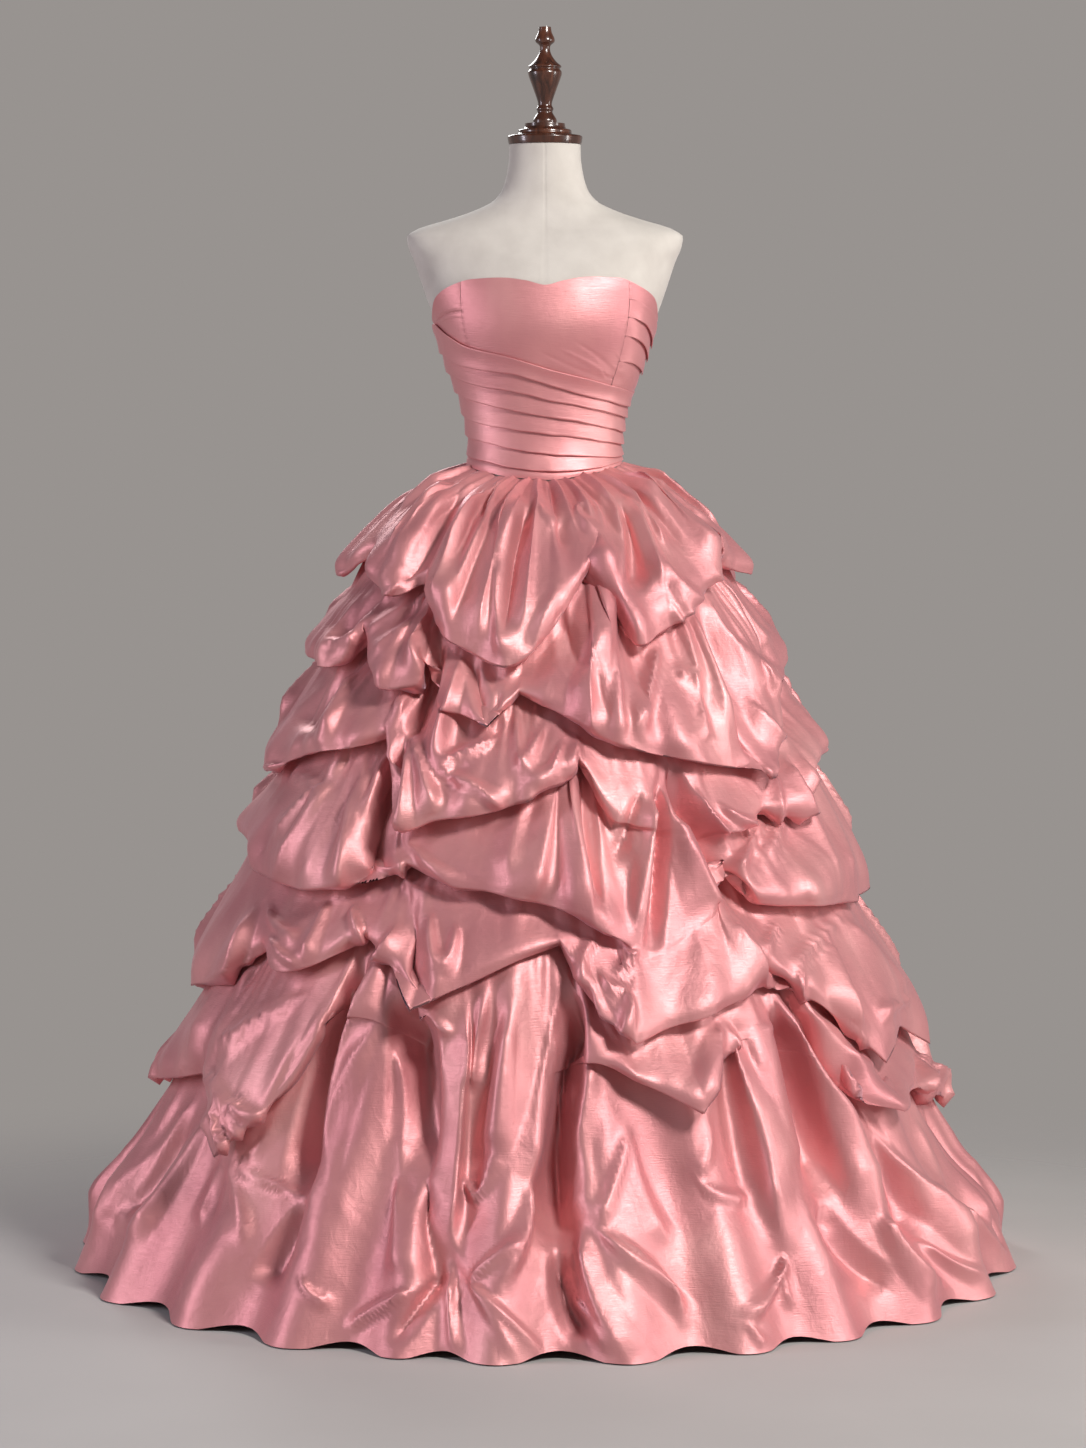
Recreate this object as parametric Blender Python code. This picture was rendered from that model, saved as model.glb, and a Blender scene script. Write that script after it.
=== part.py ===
"""Strapless ball gown on a limbless dress form.

The gown has a boned bodice with a pleated drape and a floor-length skirt of seven gores.
The skirt is picked up at uneven points, so each gore falls in six swags, one over the next.
Angles are in degrees round the upright axis: 0 is the front and +90 is the +X side.
Heights and radii are in metres, and the floor is at height 0.
"""

import math

import bpy
from mathutils import Vector

MM = 0.001

# Cloth and seams
CLOTH = 1.5 * MM
SEAM_GAP = 0.3 * MM
FORM_CLEARANCE = 1.4 * MM
MOST_SPREAD = 1.8

# Slope of a swag's edge as it reaches a catch, against its mean slope
CORNER_SLOPE = 1.3

# Skirt grid
SKIRT_COLUMN = 4.5
PANEL_COLUMN = 9.0

# Gores, as the angles of their seams; the last seam is the centre back
GORES = (
    ("skirt_gore_front", -36.0, 36.0),
    ("skirt_gore_side_front_right", 36.0, 84.0),
    ("skirt_gore_side_back_right", 84.0, 132.0),
    ("skirt_gore_back_right", 132.0, 180.0),
    ("skirt_gore_back_left", 180.0, 228.0),
    ("skirt_gore_side_back_left", 228.0, 276.0),
    ("skirt_gore_side_front_left", 276.0, 324.0),
)

# Sections of the dress form: height, half width, front depth, back depth, squareness
FORM_SECTIONS = (
    (0.860, 0.1500, 0.1050, 0.1120, 2.2),
    (0.930, 0.1600, 0.1120, 0.1220, 2.2),
    (1.000, 0.1480, 0.1050, 0.1180, 2.2),
    (1.060, 0.1220, 0.0920, 0.0980, 2.1),
    (1.108, 0.1045, 0.0840, 0.0860, 2.1),
    (1.132, 0.1020, 0.0820, 0.0830, 2.1),
    (1.160, 0.1055, 0.0845, 0.0840, 2.1),
    (1.200, 0.1150, 0.0925, 0.0860, 2.1),
    (1.250, 0.1350, 0.1090, 0.0910, 2.1),
    (1.305, 0.1520, 0.1220, 0.0960, 2.1),
    (1.345, 0.1660, 0.1170, 0.0990, 2.1),
    (1.387, 0.1800, 0.0960, 0.0990, 2.2),
    (1.408, 0.1885, 0.0820, 0.0920, 2.3),
    (1.421, 0.1905, 0.0730, 0.0840, 2.3),
    (1.431, 0.1780, 0.0650, 0.0760, 2.2),
    (1.446, 0.1300, 0.0590, 0.0680, 2.1),
    (1.457, 0.0980, 0.0560, 0.0620, 2.0),
    (1.470, 0.0720, 0.0530, 0.0570, 2.0),
    (1.486, 0.0590, 0.0510, 0.0530, 2.0),
    (1.508, 0.0525, 0.0500, 0.0510, 2.0),
    (1.528, 0.0496, 0.0496, 0.0496, 2.0),
    (1.5475, 0.0490, 0.0490, 0.0490, 2.0),
)
FORM_SIDES = 30
FORM_RING_SPACING = 0.042

# Turned wooden cap, from its seat on the neck: radius, height above the neck
CAP_PROFILE = (
    (0.0500, 0.0005),
    (0.0512, 0.0060),
    (0.0505, 0.0120),
    (0.0380, 0.0145),
    (0.0360, 0.0200),
    (0.0290, 0.0225),
    (0.0275, 0.0290),
)
# Turned finial, from the cap: radius, height above the cap
FINIAL_PROFILE = (
    (0.0165, 0.0003),
    (0.0158, 0.0060),
    (0.0105, 0.0150),
    (0.0118, 0.0200),
    (0.0095, 0.0270),
    (0.0150, 0.0440),
    (0.0220, 0.0630),
    (0.0232, 0.0700),
    (0.0205, 0.0745),
    (0.0226, 0.0780),
    (0.0150, 0.0850),
    (0.0085, 0.0950),
    (0.0072, 0.1050),
    (0.0130, 0.1110),
    (0.0130, 0.1160),
    (0.0095, 0.1240),
    (0.0082, 0.1315),
)
TURNED_SIDES = 24

# Stand under the form
POLE_RADIUS = 0.016
POLE_SIDES = 16
BASE_RADIUS = 0.200
BASE_THICKNESS = 0.022
BASE_EDGE = 0.006
BASE_SIDES = 40

# Neckline and waist seam round the body: angle, height
NECKLINE = (
    (-180.0, 1.272),
    (-120.0, 1.285),
    (-90.0, 1.304),
    (-78.0, 1.314),
    (-64.0, 1.338),
    (-52.0, 1.352),
    (-40.0, 1.361),
    (-24.0, 1.363),
    (-10.0, 1.359),
    (0.0, 1.353),
    (10.0, 1.359),
    (24.0, 1.364),
    (40.0, 1.363),
    (52.0, 1.352),
    (64.0, 1.338),
    (78.0, 1.314),
    (90.0, 1.304),
    (120.0, 1.285),
)
WAIST_SEAM = (
    (-180.0, 1.108),
    (-90.0, 1.108),
    (-46.0, 1.099),
    (-22.0, 1.092),
    (5.0, 1.089),
    (32.0, 1.097),
    (79.0, 1.108),
    (120.0, 1.108),
)

# Fold lines of the drape, top to bottom, at these angles round the body
PLEAT_ANGLES = (-180.0, -135.0, -92.0, -77.0, -60.0, -46.0, -20.0, 4.0, 22.0, 48.0, 80.0, 135.0)
PLEAT_LINES = (
    (1.246, 1.264, 1.291, 1.301, 1.285, 1.270, 1.255, 1.237, 1.227, 1.215, 1.207, 1.228),
    (1.224, 1.239, 1.262, 1.260, 1.247, 1.240, 1.233, 1.217, 1.206, 1.195, 1.188, 1.207),
    (1.203, 1.216, 1.236, 1.232, 1.224, 1.217, 1.209, 1.197, 1.190, 1.180, 1.173, 1.188),
    (1.181, 1.192, 1.209, 1.206, 1.199, 1.193, 1.183, 1.174, 1.169, 1.160, 1.154, 1.168),
    (1.160, 1.169, 1.179, 1.175, 1.168, 1.164, 1.157, 1.151, 1.147, 1.141, 1.137, 1.149),
    (1.138, 1.146, 1.150, 1.147, 1.143, 1.139, 1.130, 1.124, 1.122, 1.120, 1.122, 1.131),
    (1.120, 1.124, 1.123, 1.120, 1.117, 1.114, 1.105, 1.101, 1.102, 1.108, 1.114, 1.119),
)
# Fold lines of the short drape beside the right princess seam, at these angles
SIDE_PLEAT_ANGLES = (49.0, 60.0, 72.0, 88.0)
SIDE_PLEAT_LINES = (
    (1.334, 1.322, 1.308, 1.290),
    (1.309, 1.301, 1.286, 1.268),
    (1.284, 1.276, 1.264, 1.250),
    (1.250, 1.246, 1.240, 1.232),
)
PLEAT_STEP = 3.4 * MM
PLEAT_LAP = 1.6 * MM
PRINCESS_ANGLE = 52.0
PANEL_LAP = 3.0 * MM
PANEL_ROWS = 9

# Outer reach of the swags: height, radius
REACH = (
    (0.000, 0.6480),
    (0.020, 0.6430),
    (0.070, 0.6220),
    (0.150, 0.5780),
    (0.220, 0.5480),
    (0.300, 0.5180),
    (0.380, 0.4900),
    (0.450, 0.4700),
    (0.530, 0.4320),
    (0.610, 0.4080),
    (0.700, 0.3800),
    (0.780, 0.3460),
    (0.864, 0.3080),
    (0.920, 0.2850),
    (0.980, 0.2600),
    (1.017, 0.2420),
    (1.051, 0.2060),
    (1.080, 0.1600),
    (1.100, 0.1240),
    (1.115, 0.1090),
)

# Lower edges of the six swags. Columns: angle, height, tuck (1 is a deep fold, 0 none),
# corner (1 where the cloth is caught to a point)
SWAG_1 = (
    (-165.0, 0.960, 1.0, 1),
    (-140.0, 1.000, 0.9, 1),
    (-122.0, 0.930, 1.0, 1),
    (-104.0, 0.985, 0.9, 1),
    (-90.0, 0.952, 1.0, 0),
    (-70.0, 0.990, 0.7, 1),
    (-54.0, 0.950, 1.0, 0),
    (-44.5, 0.934, 0.9, 0),
    (-36.0, 0.964, 0.7, 1),
    (-29.0, 0.900, 0.9, 0),
    (-20.0, 0.868, 1.0, 0),
    (-9.0, 0.846, 1.0, 0),
    (-2.0, 0.872, 1.0, 0),
    (8.0, 0.940, 1.0, 0),
    (17.0, 1.006, 0.8, 1),
    (23.0, 0.872, 1.0, 0),
    (31.0, 0.888, 0.9, 0),
    (46.0, 0.930, 0.9, 0),
    (66.0, 0.976, 0.7, 1),
    (84.0, 0.955, 1.0, 0),
    (102.0, 0.990, 1.0, 1),
    (122.0, 0.900, 1.0, 1),
    (142.0, 0.970, 0.8, 1),
    (160.0, 0.915, 1.0, 1),
    (176.0, 0.990, 1.0, 1),
)
SWAG_2 = (
    (-168.0, 0.850, 0.9, 0),
    (-148.0, 0.900, 0.9, 1),
    (-128.0, 0.800, 1.0, 1),
    (-104.0, 0.880, 0.3, 1),
    (-84.0, 0.845, 1.0, 0),
    (-62.0, 0.834, 1.0, 0),
    (-54.0, 0.876, 0.8, 1),
    (-45.0, 0.835, 1.0, 0),
    (-37.0, 0.812, 1.0, 0),
    (-32.0, 0.850, 0.8, 1),
    (-24.0, 0.800, 0.2, 0),
    (-12.0, 0.772, 0.8, 1),
    (-6.0, 0.812, 1.0, 1),
    (3.0, 0.788, 1.0, 0),
    (16.0, 0.744, 1.0, 0),
    (34.0, 0.718, 1.0, 0),
    (50.0, 0.696, 1.0, 1),
    (60.0, 0.742, 0.9, 0),
    (72.0, 0.796, 0.7, 1),
    (88.0, 0.838, 1.0, 0),
    (104.0, 0.872, 0.9, 1),
    (128.0, 0.776, 1.0, 1),
    (150.0, 0.850, 0.9, 1),
    (170.0, 0.790, 0.9, 1),
)
SWAG_3 = (
    (-172.0, 0.690, 1.0, 0),
    (-150.0, 0.760, 1.0, 1),
    (-130.0, 0.660, 1.0, 1),
    (-112.0, 0.720, 0.9, 1),
    (-92.0, 0.680, 1.0, 0),
    (-74.0, 0.690, 0.9, 0),
    (-58.0, 0.720, 1.0, 0),
    (-42.0, 0.738, 1.0, 0),
    (-36.5, 0.754, 0.8, 1),
    (-27.0, 0.634, 0.9, 0),
    (-20.6, 0.650, 1.0, 0),
    (-9.0, 0.664, 1.0, 0),
    (-1.0, 0.694, 1.0, 0),
    (7.0, 0.724, 1.0, 1),
    (14.0, 0.650, 0.3, 0),
    (30.0, 0.640, 0.0, 0),
    (40.0, 0.630, 0.5, 0),
    (48.0, 0.646, 0.9, 1),
    (58.0, 0.640, 0.6, 0),
    (70.0, 0.690, 0.9, 0),
    (88.0, 0.716, 1.0, 0),
    (104.0, 0.740, 1.0, 1),
    (130.0, 0.630, 1.0, 1),
    (152.0, 0.710, 0.4, 1),
    (172.0, 0.660, 0.9, 1),
)
SWAG_4 = (
    (-172.0, 0.560, 0.1, 0),
    (-156.0, 0.600, 0.9, 1),
    (-134.0, 0.500, 1.0, 1),
    (-112.0, 0.580, 0.8, 1),
    (-92.0, 0.595, 1.0, 0),
    (-76.0, 0.590, 1.0, 0),
    (-64.0, 0.560, 0.9, 0),
    (-50.0, 0.548, 0.9, 0),
    (-38.0, 0.558, 1.0, 0),
    (-31.0, 0.572, 1.0, 0),
    (-26.0, 0.588, 0.9, 1),
    (-18.0, 0.574, 1.0, 0),
    (-8.0, 0.560, 1.0, 0),
    (3.0, 0.540, 1.0, 0),
    (9.5, 0.512, 1.0, 1),
    (15.0, 0.500, 0.0, 0),
    (29.0, 0.540, 0.0, 0),
    (36.0, 0.570, 0.9, 1),
    (41.0, 0.534, 1.0, 0),
    (54.0, 0.524, 1.0, 0),
    (70.0, 0.514, 1.0, 1),
    (88.0, 0.520, 1.0, 0),
    (106.0, 0.590, 1.0, 1),
    (128.0, 0.490, 0.9, 1),
    (152.0, 0.560, 0.9, 1),
    (172.0, 0.510, 0.2, 0),
)
SWAG_5 = (
    (-178.0, 0.440, 0.9, 1),
    (-158.0, 0.380, 1.0, 1),
    (-136.0, 0.420, 0.2, 1),
    (-112.0, 0.350, 1.0, 0),
    (-92.0, 0.374, 1.0, 0),
    (-72.0, 0.402, 0.9, 0),
    (-57.0, 0.460, 0.8, 1),
    (-46.0, 0.446, 1.0, 0),
    (-32.0, 0.494, 1.0, 1),
    (-26.0, 0.470, 0.6, 0),
    (-20.0, 0.414, 1.0, 1),
    (-12.0, 0.448, 1.0, 0),
    (-4.0, 0.478, 1.0, 0),
    (2.5, 0.494, 1.0, 1),
    (7.0, 0.430, 1.0, 0),
    (13.0, 0.377, 1.0, 1),
    (25.0, 0.406, 1.0, 0),
    (38.5, 0.432, 1.0, 1),
    (46.0, 0.410, 0.8, 0),
    (59.5, 0.312, 0.9, 1),
    (70.0, 0.345, 0.9, 0),
    (84.0, 0.302, 1.0, 1),
    (104.0, 0.400, 0.9, 1),
    (128.0, 0.330, 1.0, 1),
    (154.0, 0.420, 0.9, 1),
    (168.0, 0.370, 0.8, 1),
)
SWAG_6 = (
    (-176.0, 0.270, 0.5, 0),
    (-158.0, 0.230, 0.0, 0),
    (-140.0, 0.290, 0.2, 1),
    (-120.0, 0.215, 1.0, 1),
    (-92.0, 0.250, 1.0, 0),
    (-76.0, 0.268, 0.9, 0),
    (-64.0, 0.292, 0.9, 1),
    (-57.0, 0.258, 0.9, 0),
    (-48.5, 0.206, 1.0, 1),
    (-42.5, 0.270, 1.0, 0),
    (-36.0, 0.385, 0.6, 0),
    (-29.0, 0.400, 0.1, 0),
    (-16.0, 0.350, 0.0, 0),
    (0.0, 0.340, 0.0, 0),
    (7.0, 0.352, 0.4, 0),
    (13.0, 0.330, 1.0, 0),
    (21.5, 0.288, 1.0, 1),
    (27.0, 0.350, 0.5, 0),
    (34.0, 0.372, 0.0, 0),
    (45.0, 0.335, 0.0, 0),
    (51.5, 0.272, 0.8, 0),
    (58.5, 0.252, 1.0, 1),
    (68.0, 0.262, 0.9, 0),
    (84.0, 0.232, 1.0, 1),
    (100.0, 0.200, 0.8, 1),
    (118.0, 0.260, 0.9, 1),
    (138.0, 0.205, 0.0, 0),
    (158.0, 0.280, 0.0, 1),
)
SWAGS = (SWAG_1, SWAG_2, SWAG_3, SWAG_4, SWAG_5, SWAG_6)

# How far a full tuck runs up and in behind its lower edge
TUCK_RISE = 0.036
TUCK_DEPTH = 0.050
LEAVE_DEPTH = 0.026
LOOSE_DROP = 0.016
SWAG_BELLY = 0.012
LEAST_DROP = 0.030

# Where the cloth is caught up it is drawn in, and where it hangs to a point it stands out
CATCH_WIDTH = 5.0
CATCH_IN = 0.024
POINT_OUT = 0.010

# Folds that fan down from each catch: turn from it at the top and at the bottom, height
CATCH_FOLDS = (
    (-3.2, -11.0, 0.0075),
    (-0.8, -3.5, 0.0085),
    (1.4, 4.0, 0.0080),
    (3.6, 12.0, 0.0070),
)
CATCH_FOLD_WIDTH = 2.6

# Gathers under the waist seam: their count, their height, how far they wander in degrees,
# and how the height grows and fades from the seam down
GATHER_COUNT = 30
GATHER_HEIGHT = 0.0080
GATHER_DRIFTS = ((2.0, 3.4), (5.0, 1.5), (11.0, 0.7))
GATHER_PHASE = 40.0
GATHER_UNEVEN = 0.35
UNEVEN_TURNS = 7.0
GATHER_FADE = (0.15, 0.8, 1.1, 0.35)

# Main folds of the swags. Columns: swag, angle at its top, angle at its lower edge,
# width in degrees at the lower edge, height
SWAG_FOLDS = (
    (0, -60.0, -57.0, 6.0, 0.012),
    (0, -50.0, -46.0, 5.5, 0.012),
    (0, -28.0, -24.0, 4.0, 0.014),
    (0, -12.0, -9.0, 4.5, 0.018),
    (0, 4.0, 3.0, 5.0, 0.010),
    (0, 19.0, 24.0, 4.0, 0.016),
    (0, 30.0, 40.0, 5.0, 0.014),
    (0, 44.0, 58.0, 5.0, 0.012),
    (0, 80.0, 84.0, 6.0, 0.014),
    (0, 112.0, 120.0, 6.0, 0.016),
    (0, 150.0, 158.0, 6.0, 0.016),
    (0, -116.0, -122.0, 6.0, 0.016),
    (0, -158.0, -164.0, 6.0, 0.016),
    (0, -88.0, -90.0, 6.0, 0.014),
    (1, -70.0, -64.0, 5.0, 0.012),
    (1, -44.0, -39.0, 4.5, 0.014),
    (1, -16.0, -12.0, 4.0, 0.012),
    (1, 6.0, 16.0, 4.0, 0.012),
    (1, 22.0, 32.0, 4.5, 0.016),
    (1, 34.0, 49.0, 4.0, 0.012),
    (1, 84.0, 88.0, 6.0, 0.014),
    (1, 120.0, 128.0, 6.0, 0.016),
    (1, 164.0, 170.0, 6.0, 0.016),
    (1, -122.0, -128.0, 6.0, 0.016),
    (1, -160.0, -168.0, 6.0, 0.014),
    (1, -90.0, -86.0, 6.0, 0.014),
    (2, -56.0, -50.0, 5.0, 0.012),
    (2, -78.0, -74.0, 5.0, 0.014),
    (2, -26.0, -26.0, 4.0, 0.012),
    (2, -12.0, -14.0, 4.0, 0.012),
    (2, 20.0, 17.0, 4.0, 0.014),
    (2, 27.0, 27.0, 3.5, 0.014),
    (2, 33.0, 38.0, 4.0, 0.012),
    (2, 76.0, 86.0, 6.0, 0.014),
    (2, 124.0, 130.0, 6.0, 0.016),
    (2, 164.0, 172.0, 6.0, 0.014),
    (2, -124.0, -130.0, 6.0, 0.016),
    (2, -164.0, -172.0, 6.0, 0.014),
    (3, -72.0, -66.0, 5.0, 0.012),
    (3, -50.0, -44.0, 5.0, 0.014),
    (3, 0.0, -6.0, 4.0, 0.012),
    (3, 6.0, 4.0, 4.0, 0.012),
    (3, 17.0, 15.0, 4.0, 0.014),
    (3, 27.0, 26.0, 4.0, 0.014),
    (3, 48.0, 54.0, 5.0, 0.014),
    (3, 78.0, 86.0, 6.0, 0.014),
    (3, 122.0, 128.0, 6.0, 0.014),
    (3, 164.0, 172.0, 6.0, 0.014),
    (3, -128.0, -134.0, 6.0, 0.016),
    (3, -96.0, -92.0, 6.0, 0.014),
    (4, -52.0, -46.0, 5.0, 0.014),
    (4, -72.0, -76.0, 5.0, 0.012),
    (4, -24.0, -20.0, 4.0, 0.014),
    (4, 14.0, 13.0, 3.5, 0.016),
    (4, 26.0, 24.0, 4.5, 0.016),
    (4, 58.0, 66.0, 6.0, 0.014),
    (4, 80.0, 88.0, 6.0, 0.014),
    (4, 124.0, 128.0, 6.0, 0.016),
    (4, -106.0, -112.0, 6.0, 0.016),
    (4, -154.0, -158.0, 6.0, 0.016),
    (5, -56.0, -50.0, 5.0, 0.014),
    (5, -70.0, -80.0, 6.0, 0.014),
    (5, -24.0, -26.0, 4.0, 0.014),
    (5, -10.0, -9.0, 4.0, 0.014),
    (5, 18.0, 21.0, 4.0, 0.014),
    (5, 36.0, 40.0, 4.0, 0.012),
    (5, 54.0, 60.0, 5.0, 0.014),
    (5, 96.0, 100.0, 6.0, 0.014),
    (5, 134.0, 138.0, 6.0, 0.014),
    (5, -114.0, -120.0, 6.0, 0.014),
    (5, -154.0, -158.0, 6.0, 0.014),
)

# Flutes that fall to the hem: top angle, hem angle, width, height
HEM_FLUTES = (
    (-176.0, -177.0, 7.0, 0.038),
    (-150.0, -155.0, 6.5, 0.035),
    (-134.0, -136.0, 6.0, 0.042),
    (-112.0, -116.0, 7.0, 0.038),
    (-94.0, -97.0, 6.0, 0.042),
    (-76.0, -80.0, 5.5, 0.038),
    (-58.0, -63.0, 5.5, 0.042),
    (-43.0, -46.0, 5.0, 0.038),
    (-27.0, -30.5, 5.0, 0.042),
    (-15.0, -17.0, 4.0, 0.035),
    (-5.0, -5.5, 4.5, 0.045),
    (8.0, 9.5, 5.0, 0.045),
    (22.0, 24.0, 4.5, 0.038),
    (33.0, 36.5, 4.5, 0.038),
    (46.0, 50.0, 5.0, 0.042),
    (60.0, 65.0, 5.5, 0.042),
    (76.0, 81.0, 6.0, 0.038),
    (95.0, 99.0, 6.5, 0.042),
    (116.0, 118.0, 7.0, 0.038),
    (136.0, 139.0, 6.5, 0.038),
    (157.0, 160.0, 6.5, 0.042),
)
FLUTE_TOP = 0.45
HEM_ROWS = (0.30, 0.66, 1.0)
HEM_LOW = 0.8 * MM
HEM_LIFT = 13.0 * MM
HEM_INSET = 0.026
LOOSE_INSET = 0.7
FLUTE_DOWN = 0.032

# Depth of the body and the waist against their width, and where the skirt is round
BODY_DEPTH_RATIO = 0.80
FULL_DEPTH_HEIGHT = 0.98

COLOURS = {
    "taffeta": ((0.640, 0.245, 0.250, 1.0), 0.34, 0.0),
    "linen": ((0.800, 0.760, 0.690, 1.0), 0.85, 0.0),
    "dark_wood": ((0.075, 0.028, 0.016, 1.0), 0.25, 0.0),
    "black_metal": ((0.045, 0.045, 0.050, 1.0), 0.45, 0.9),
}


def clear_scene():
    for item in list(bpy.data.objects):
        bpy.data.objects.remove(item, do_unlink=True)


def make_material(name):
    colour, roughness, metallic = COLOURS[name]
    material = bpy.data.materials.new(name)
    material.use_nodes = True
    shader = material.node_tree.nodes["Principled BSDF"]
    shader.inputs["Base Color"].default_value = colour
    shader.inputs["Roughness"].default_value = roughness
    shader.inputs["Metallic"].default_value = metallic
    return material


def add_object(name, points, faces, material_name):
    """Make one closed mesh object, shaded smooth but for its sharp edges."""
    mesh = bpy.data.meshes.new(name)
    mesh.from_pydata([tuple(p) for p in points], [], faces)
    mesh.validate()
    mesh.shade_smooth()
    mesh.set_sharp_from_angle(angle=math.radians(50.0))
    item = bpy.data.objects.new(name, mesh)
    item.data.materials.append(make_material(material_name))
    bpy.context.collection.objects.link(item)
    return item


def blend(start, end, share):
    return start + (end - start) * share


def smoothstep(value):
    value = min(1.0, max(0.0, value))
    return value * value * (3.0 - 2.0 * value)


def wrap(angle):
    """The same angle, from -180 up to 180."""
    return (angle + 180.0) % 360.0 - 180.0


def table_value(rows, key, column):
    """A column of a table of rows, straight between its rows and flat past its ends."""
    if key <= rows[0][0]:
        return rows[0][column]
    for low, high in zip(rows, rows[1:]):
        if key <= high[0]:
            share = (key - low[0]) / (high[0] - low[0])
            return blend(low[column], high[column], share)
    return rows[-1][column]


def limited_slope(before, here, after, column):
    """The slope of a smooth row, which is level at a crest or a hollow."""
    left = (here[column] - before[column]) / (here[0] - before[0])
    right = (after[column] - here[column]) / (after[0] - here[0])
    if left * right <= 0.0:
        return 0.0
    return 2.0 * left * right / (left + right)


def hermite(low, high, slope_low, slope_high, width, along):
    """The cubic between two values with given slopes, at a distance along it."""
    t = along / width
    share_high = (3.0 - 2.0 * t) * t * t
    bend = slope_low * t * (1.0 - t) ** 2 - slope_high * t * t * (1.0 - t)
    return blend(low, high, share_high) + width * bend


def smooth_value(rows, key, column):
    """A column of a table of rows, as a smooth curve that never overshoots its rows."""
    last = len(rows) - 1
    if key <= rows[0][0]:
        return rows[0][column]
    if key >= rows[last][0]:
        return rows[last][column]
    index = next(i for i in range(last) if key <= rows[i + 1][0])
    low = rows[index]
    high = rows[index + 1]
    width = high[0] - low[0]
    chord = (high[column] - low[column]) / width
    slope_low = limited_slope(rows[index - 1], low, high, column) if index else chord
    ends_here = index + 1 == last
    slope_high = chord if ends_here else limited_slope(low, high, rows[index + 2], column)
    return hermite(low[column], high[column], slope_low, slope_high, width, key - low[0])


def round_value(rows, angle, column, corner=None):
    """A column of a table that goes round the body, as a smooth curve of the angle.

    A row whose corner column is 1 keeps a point there.
    """
    count = len(rows)
    angle = wrap(angle)
    index = count - 1
    for number, row in enumerate(rows):
        if row[0] > angle:
            index = number - 1
            break
    around = []
    for step in (-1, 0, 1, 2):
        place = index + step
        turns, place = divmod(place, count)
        row = rows[place]
        around.append((row[0] + 360.0 * turns,) + tuple(row[1:]))
    before, low, high, after = around
    width = high[0] - low[0]
    if angle < low[0]:
        angle += 360.0
    chord = (high[column] - low[column]) / width
    slope_low = limited_slope(before, low, high, column)
    slope_high = limited_slope(low, high, after, column)
    if corner is not None and low[corner]:
        slope_low = CORNER_SLOPE * chord
    if corner is not None and high[corner]:
        slope_high = CORNER_SLOPE * chord
    return hermite(low[column], high[column], slope_low, slope_high, width, angle - low[0])


def body_angle(bearing):
    """The angle on a circle that the oval body carries to this bearing from the axis."""
    turn = math.radians(bearing)
    return math.degrees(math.atan2(math.sin(turn) * BODY_DEPTH_RATIO, math.cos(turn)))


def form_point(bearing, height, offset):
    """A point of the dress form's skin at a bearing and a height, moved out by offset."""
    turn = math.radians(bearing)
    sine = math.sin(turn)
    cosine = math.cos(turn)
    half = smooth_value(FORM_SECTIONS, height, 1)
    depth = smooth_value(FORM_SECTIONS, height, 2 if cosine > 0.0 else 3)
    power = smooth_value(FORM_SECTIONS, height, 4)
    radius = (abs(sine / half) ** power + abs(cosine / depth) ** power) ** (-1.0 / power)
    radius += offset
    return Vector((radius * sine, -radius * cosine, height))


def turn_at(before, here, after):
    """The direction of a line through a point, and how far its wall spreads in the bend."""
    arriving = (here - before).normalized() if before is not None else None
    leaving = (after - here).normalized() if after is not None else None
    if arriving is None:
        return leaving, 1.0
    if leaving is None:
        return arriving, 1.0
    total = arriving + leaving
    spread = 2.0 / max(total.length, 2.0 / MOST_SPREAD)
    return total.normalized(), spread


def grid_normals(grid):
    """Outward normals of a grid of points, rows from the top down, columns by angle.

    A normal is longer where the wall turns back on itself, to keep its thickness there.
    """
    normals = []
    for i, row in enumerate(grid):
        line = []
        for j, point in enumerate(row):
            above = grid[i - 1][j] if i > 0 else None
            below = grid[i + 1][j] if i < len(grid) - 1 else None
            behind = row[j - 1] if j > 0 else None
            ahead = row[j + 1] if j < len(row) - 1 else None
            down, spread = turn_at(above, point, below)
            across = turn_at(behind, point, ahead)[0]
            line.append(down.cross(across).normalized() * spread)
        normals.append(line)
    return normals


def wall_faces(rows, columns):
    """Faces of a wall whose outer grid comes first and its inner grid after it."""
    inner = rows * columns
    faces = []
    for i in range(rows - 1):
        for j in range(columns - 1):
            a = i * columns + j
            b = a + columns
            faces.append((a, b, b + 1, a + 1))
            faces.append((inner + a, inner + a + 1, inner + b + 1, inner + b))
    rim = [j for j in range(columns)]
    rim += [i * columns + columns - 1 for i in range(1, rows)]
    rim += [(rows - 1) * columns + j for j in range(columns - 2, -1, -1)]
    rim += [i * columns for i in range(rows - 2, 0, -1)]
    for here, there in zip(rim, rim[1:] + rim[:1]):
        faces.append((here, there, inner + there, inner + here))
    return faces


def upright(normal, point):
    """A normal turned into the upright plane through the axis and the point."""
    sideways = Vector((-point.y, point.x, 0.0)).normalized()
    return (normal - sideways * normal.dot(sideways)).normalized() * normal.length


def add_wall(name, grid, thickness, material_name):
    """A cloth wall whose outer side is the grid, without its outermost guide columns."""
    normals = grid_normals(grid)
    last = len(grid[0]) - 2
    outer = []
    inner = []
    for row, line in zip(grid, normals):
        for j in range(1, last + 1):
            normal = line[j]
            if j in (1, last):
                normal = upright(normal, row[j])
            outer.append(row[j])
            inner.append(row[j] - normal * thickness)
    faces = wall_faces(len(grid), last)
    return add_object(name, outer + inner, faces, material_name)


def panel_angles(start, end, column_width, radius):
    """Column angles from seam to seam, half a seam gap in, with a guide column past each."""
    inset = math.degrees(0.5 * SEAM_GAP / radius)
    first = start + inset
    last = end - inset
    count = max(2, round((end - start) / column_width))
    step = (last - first) / count
    return [first + step * (j - 1) for j in range(count + 3)]


# Skirt

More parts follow.
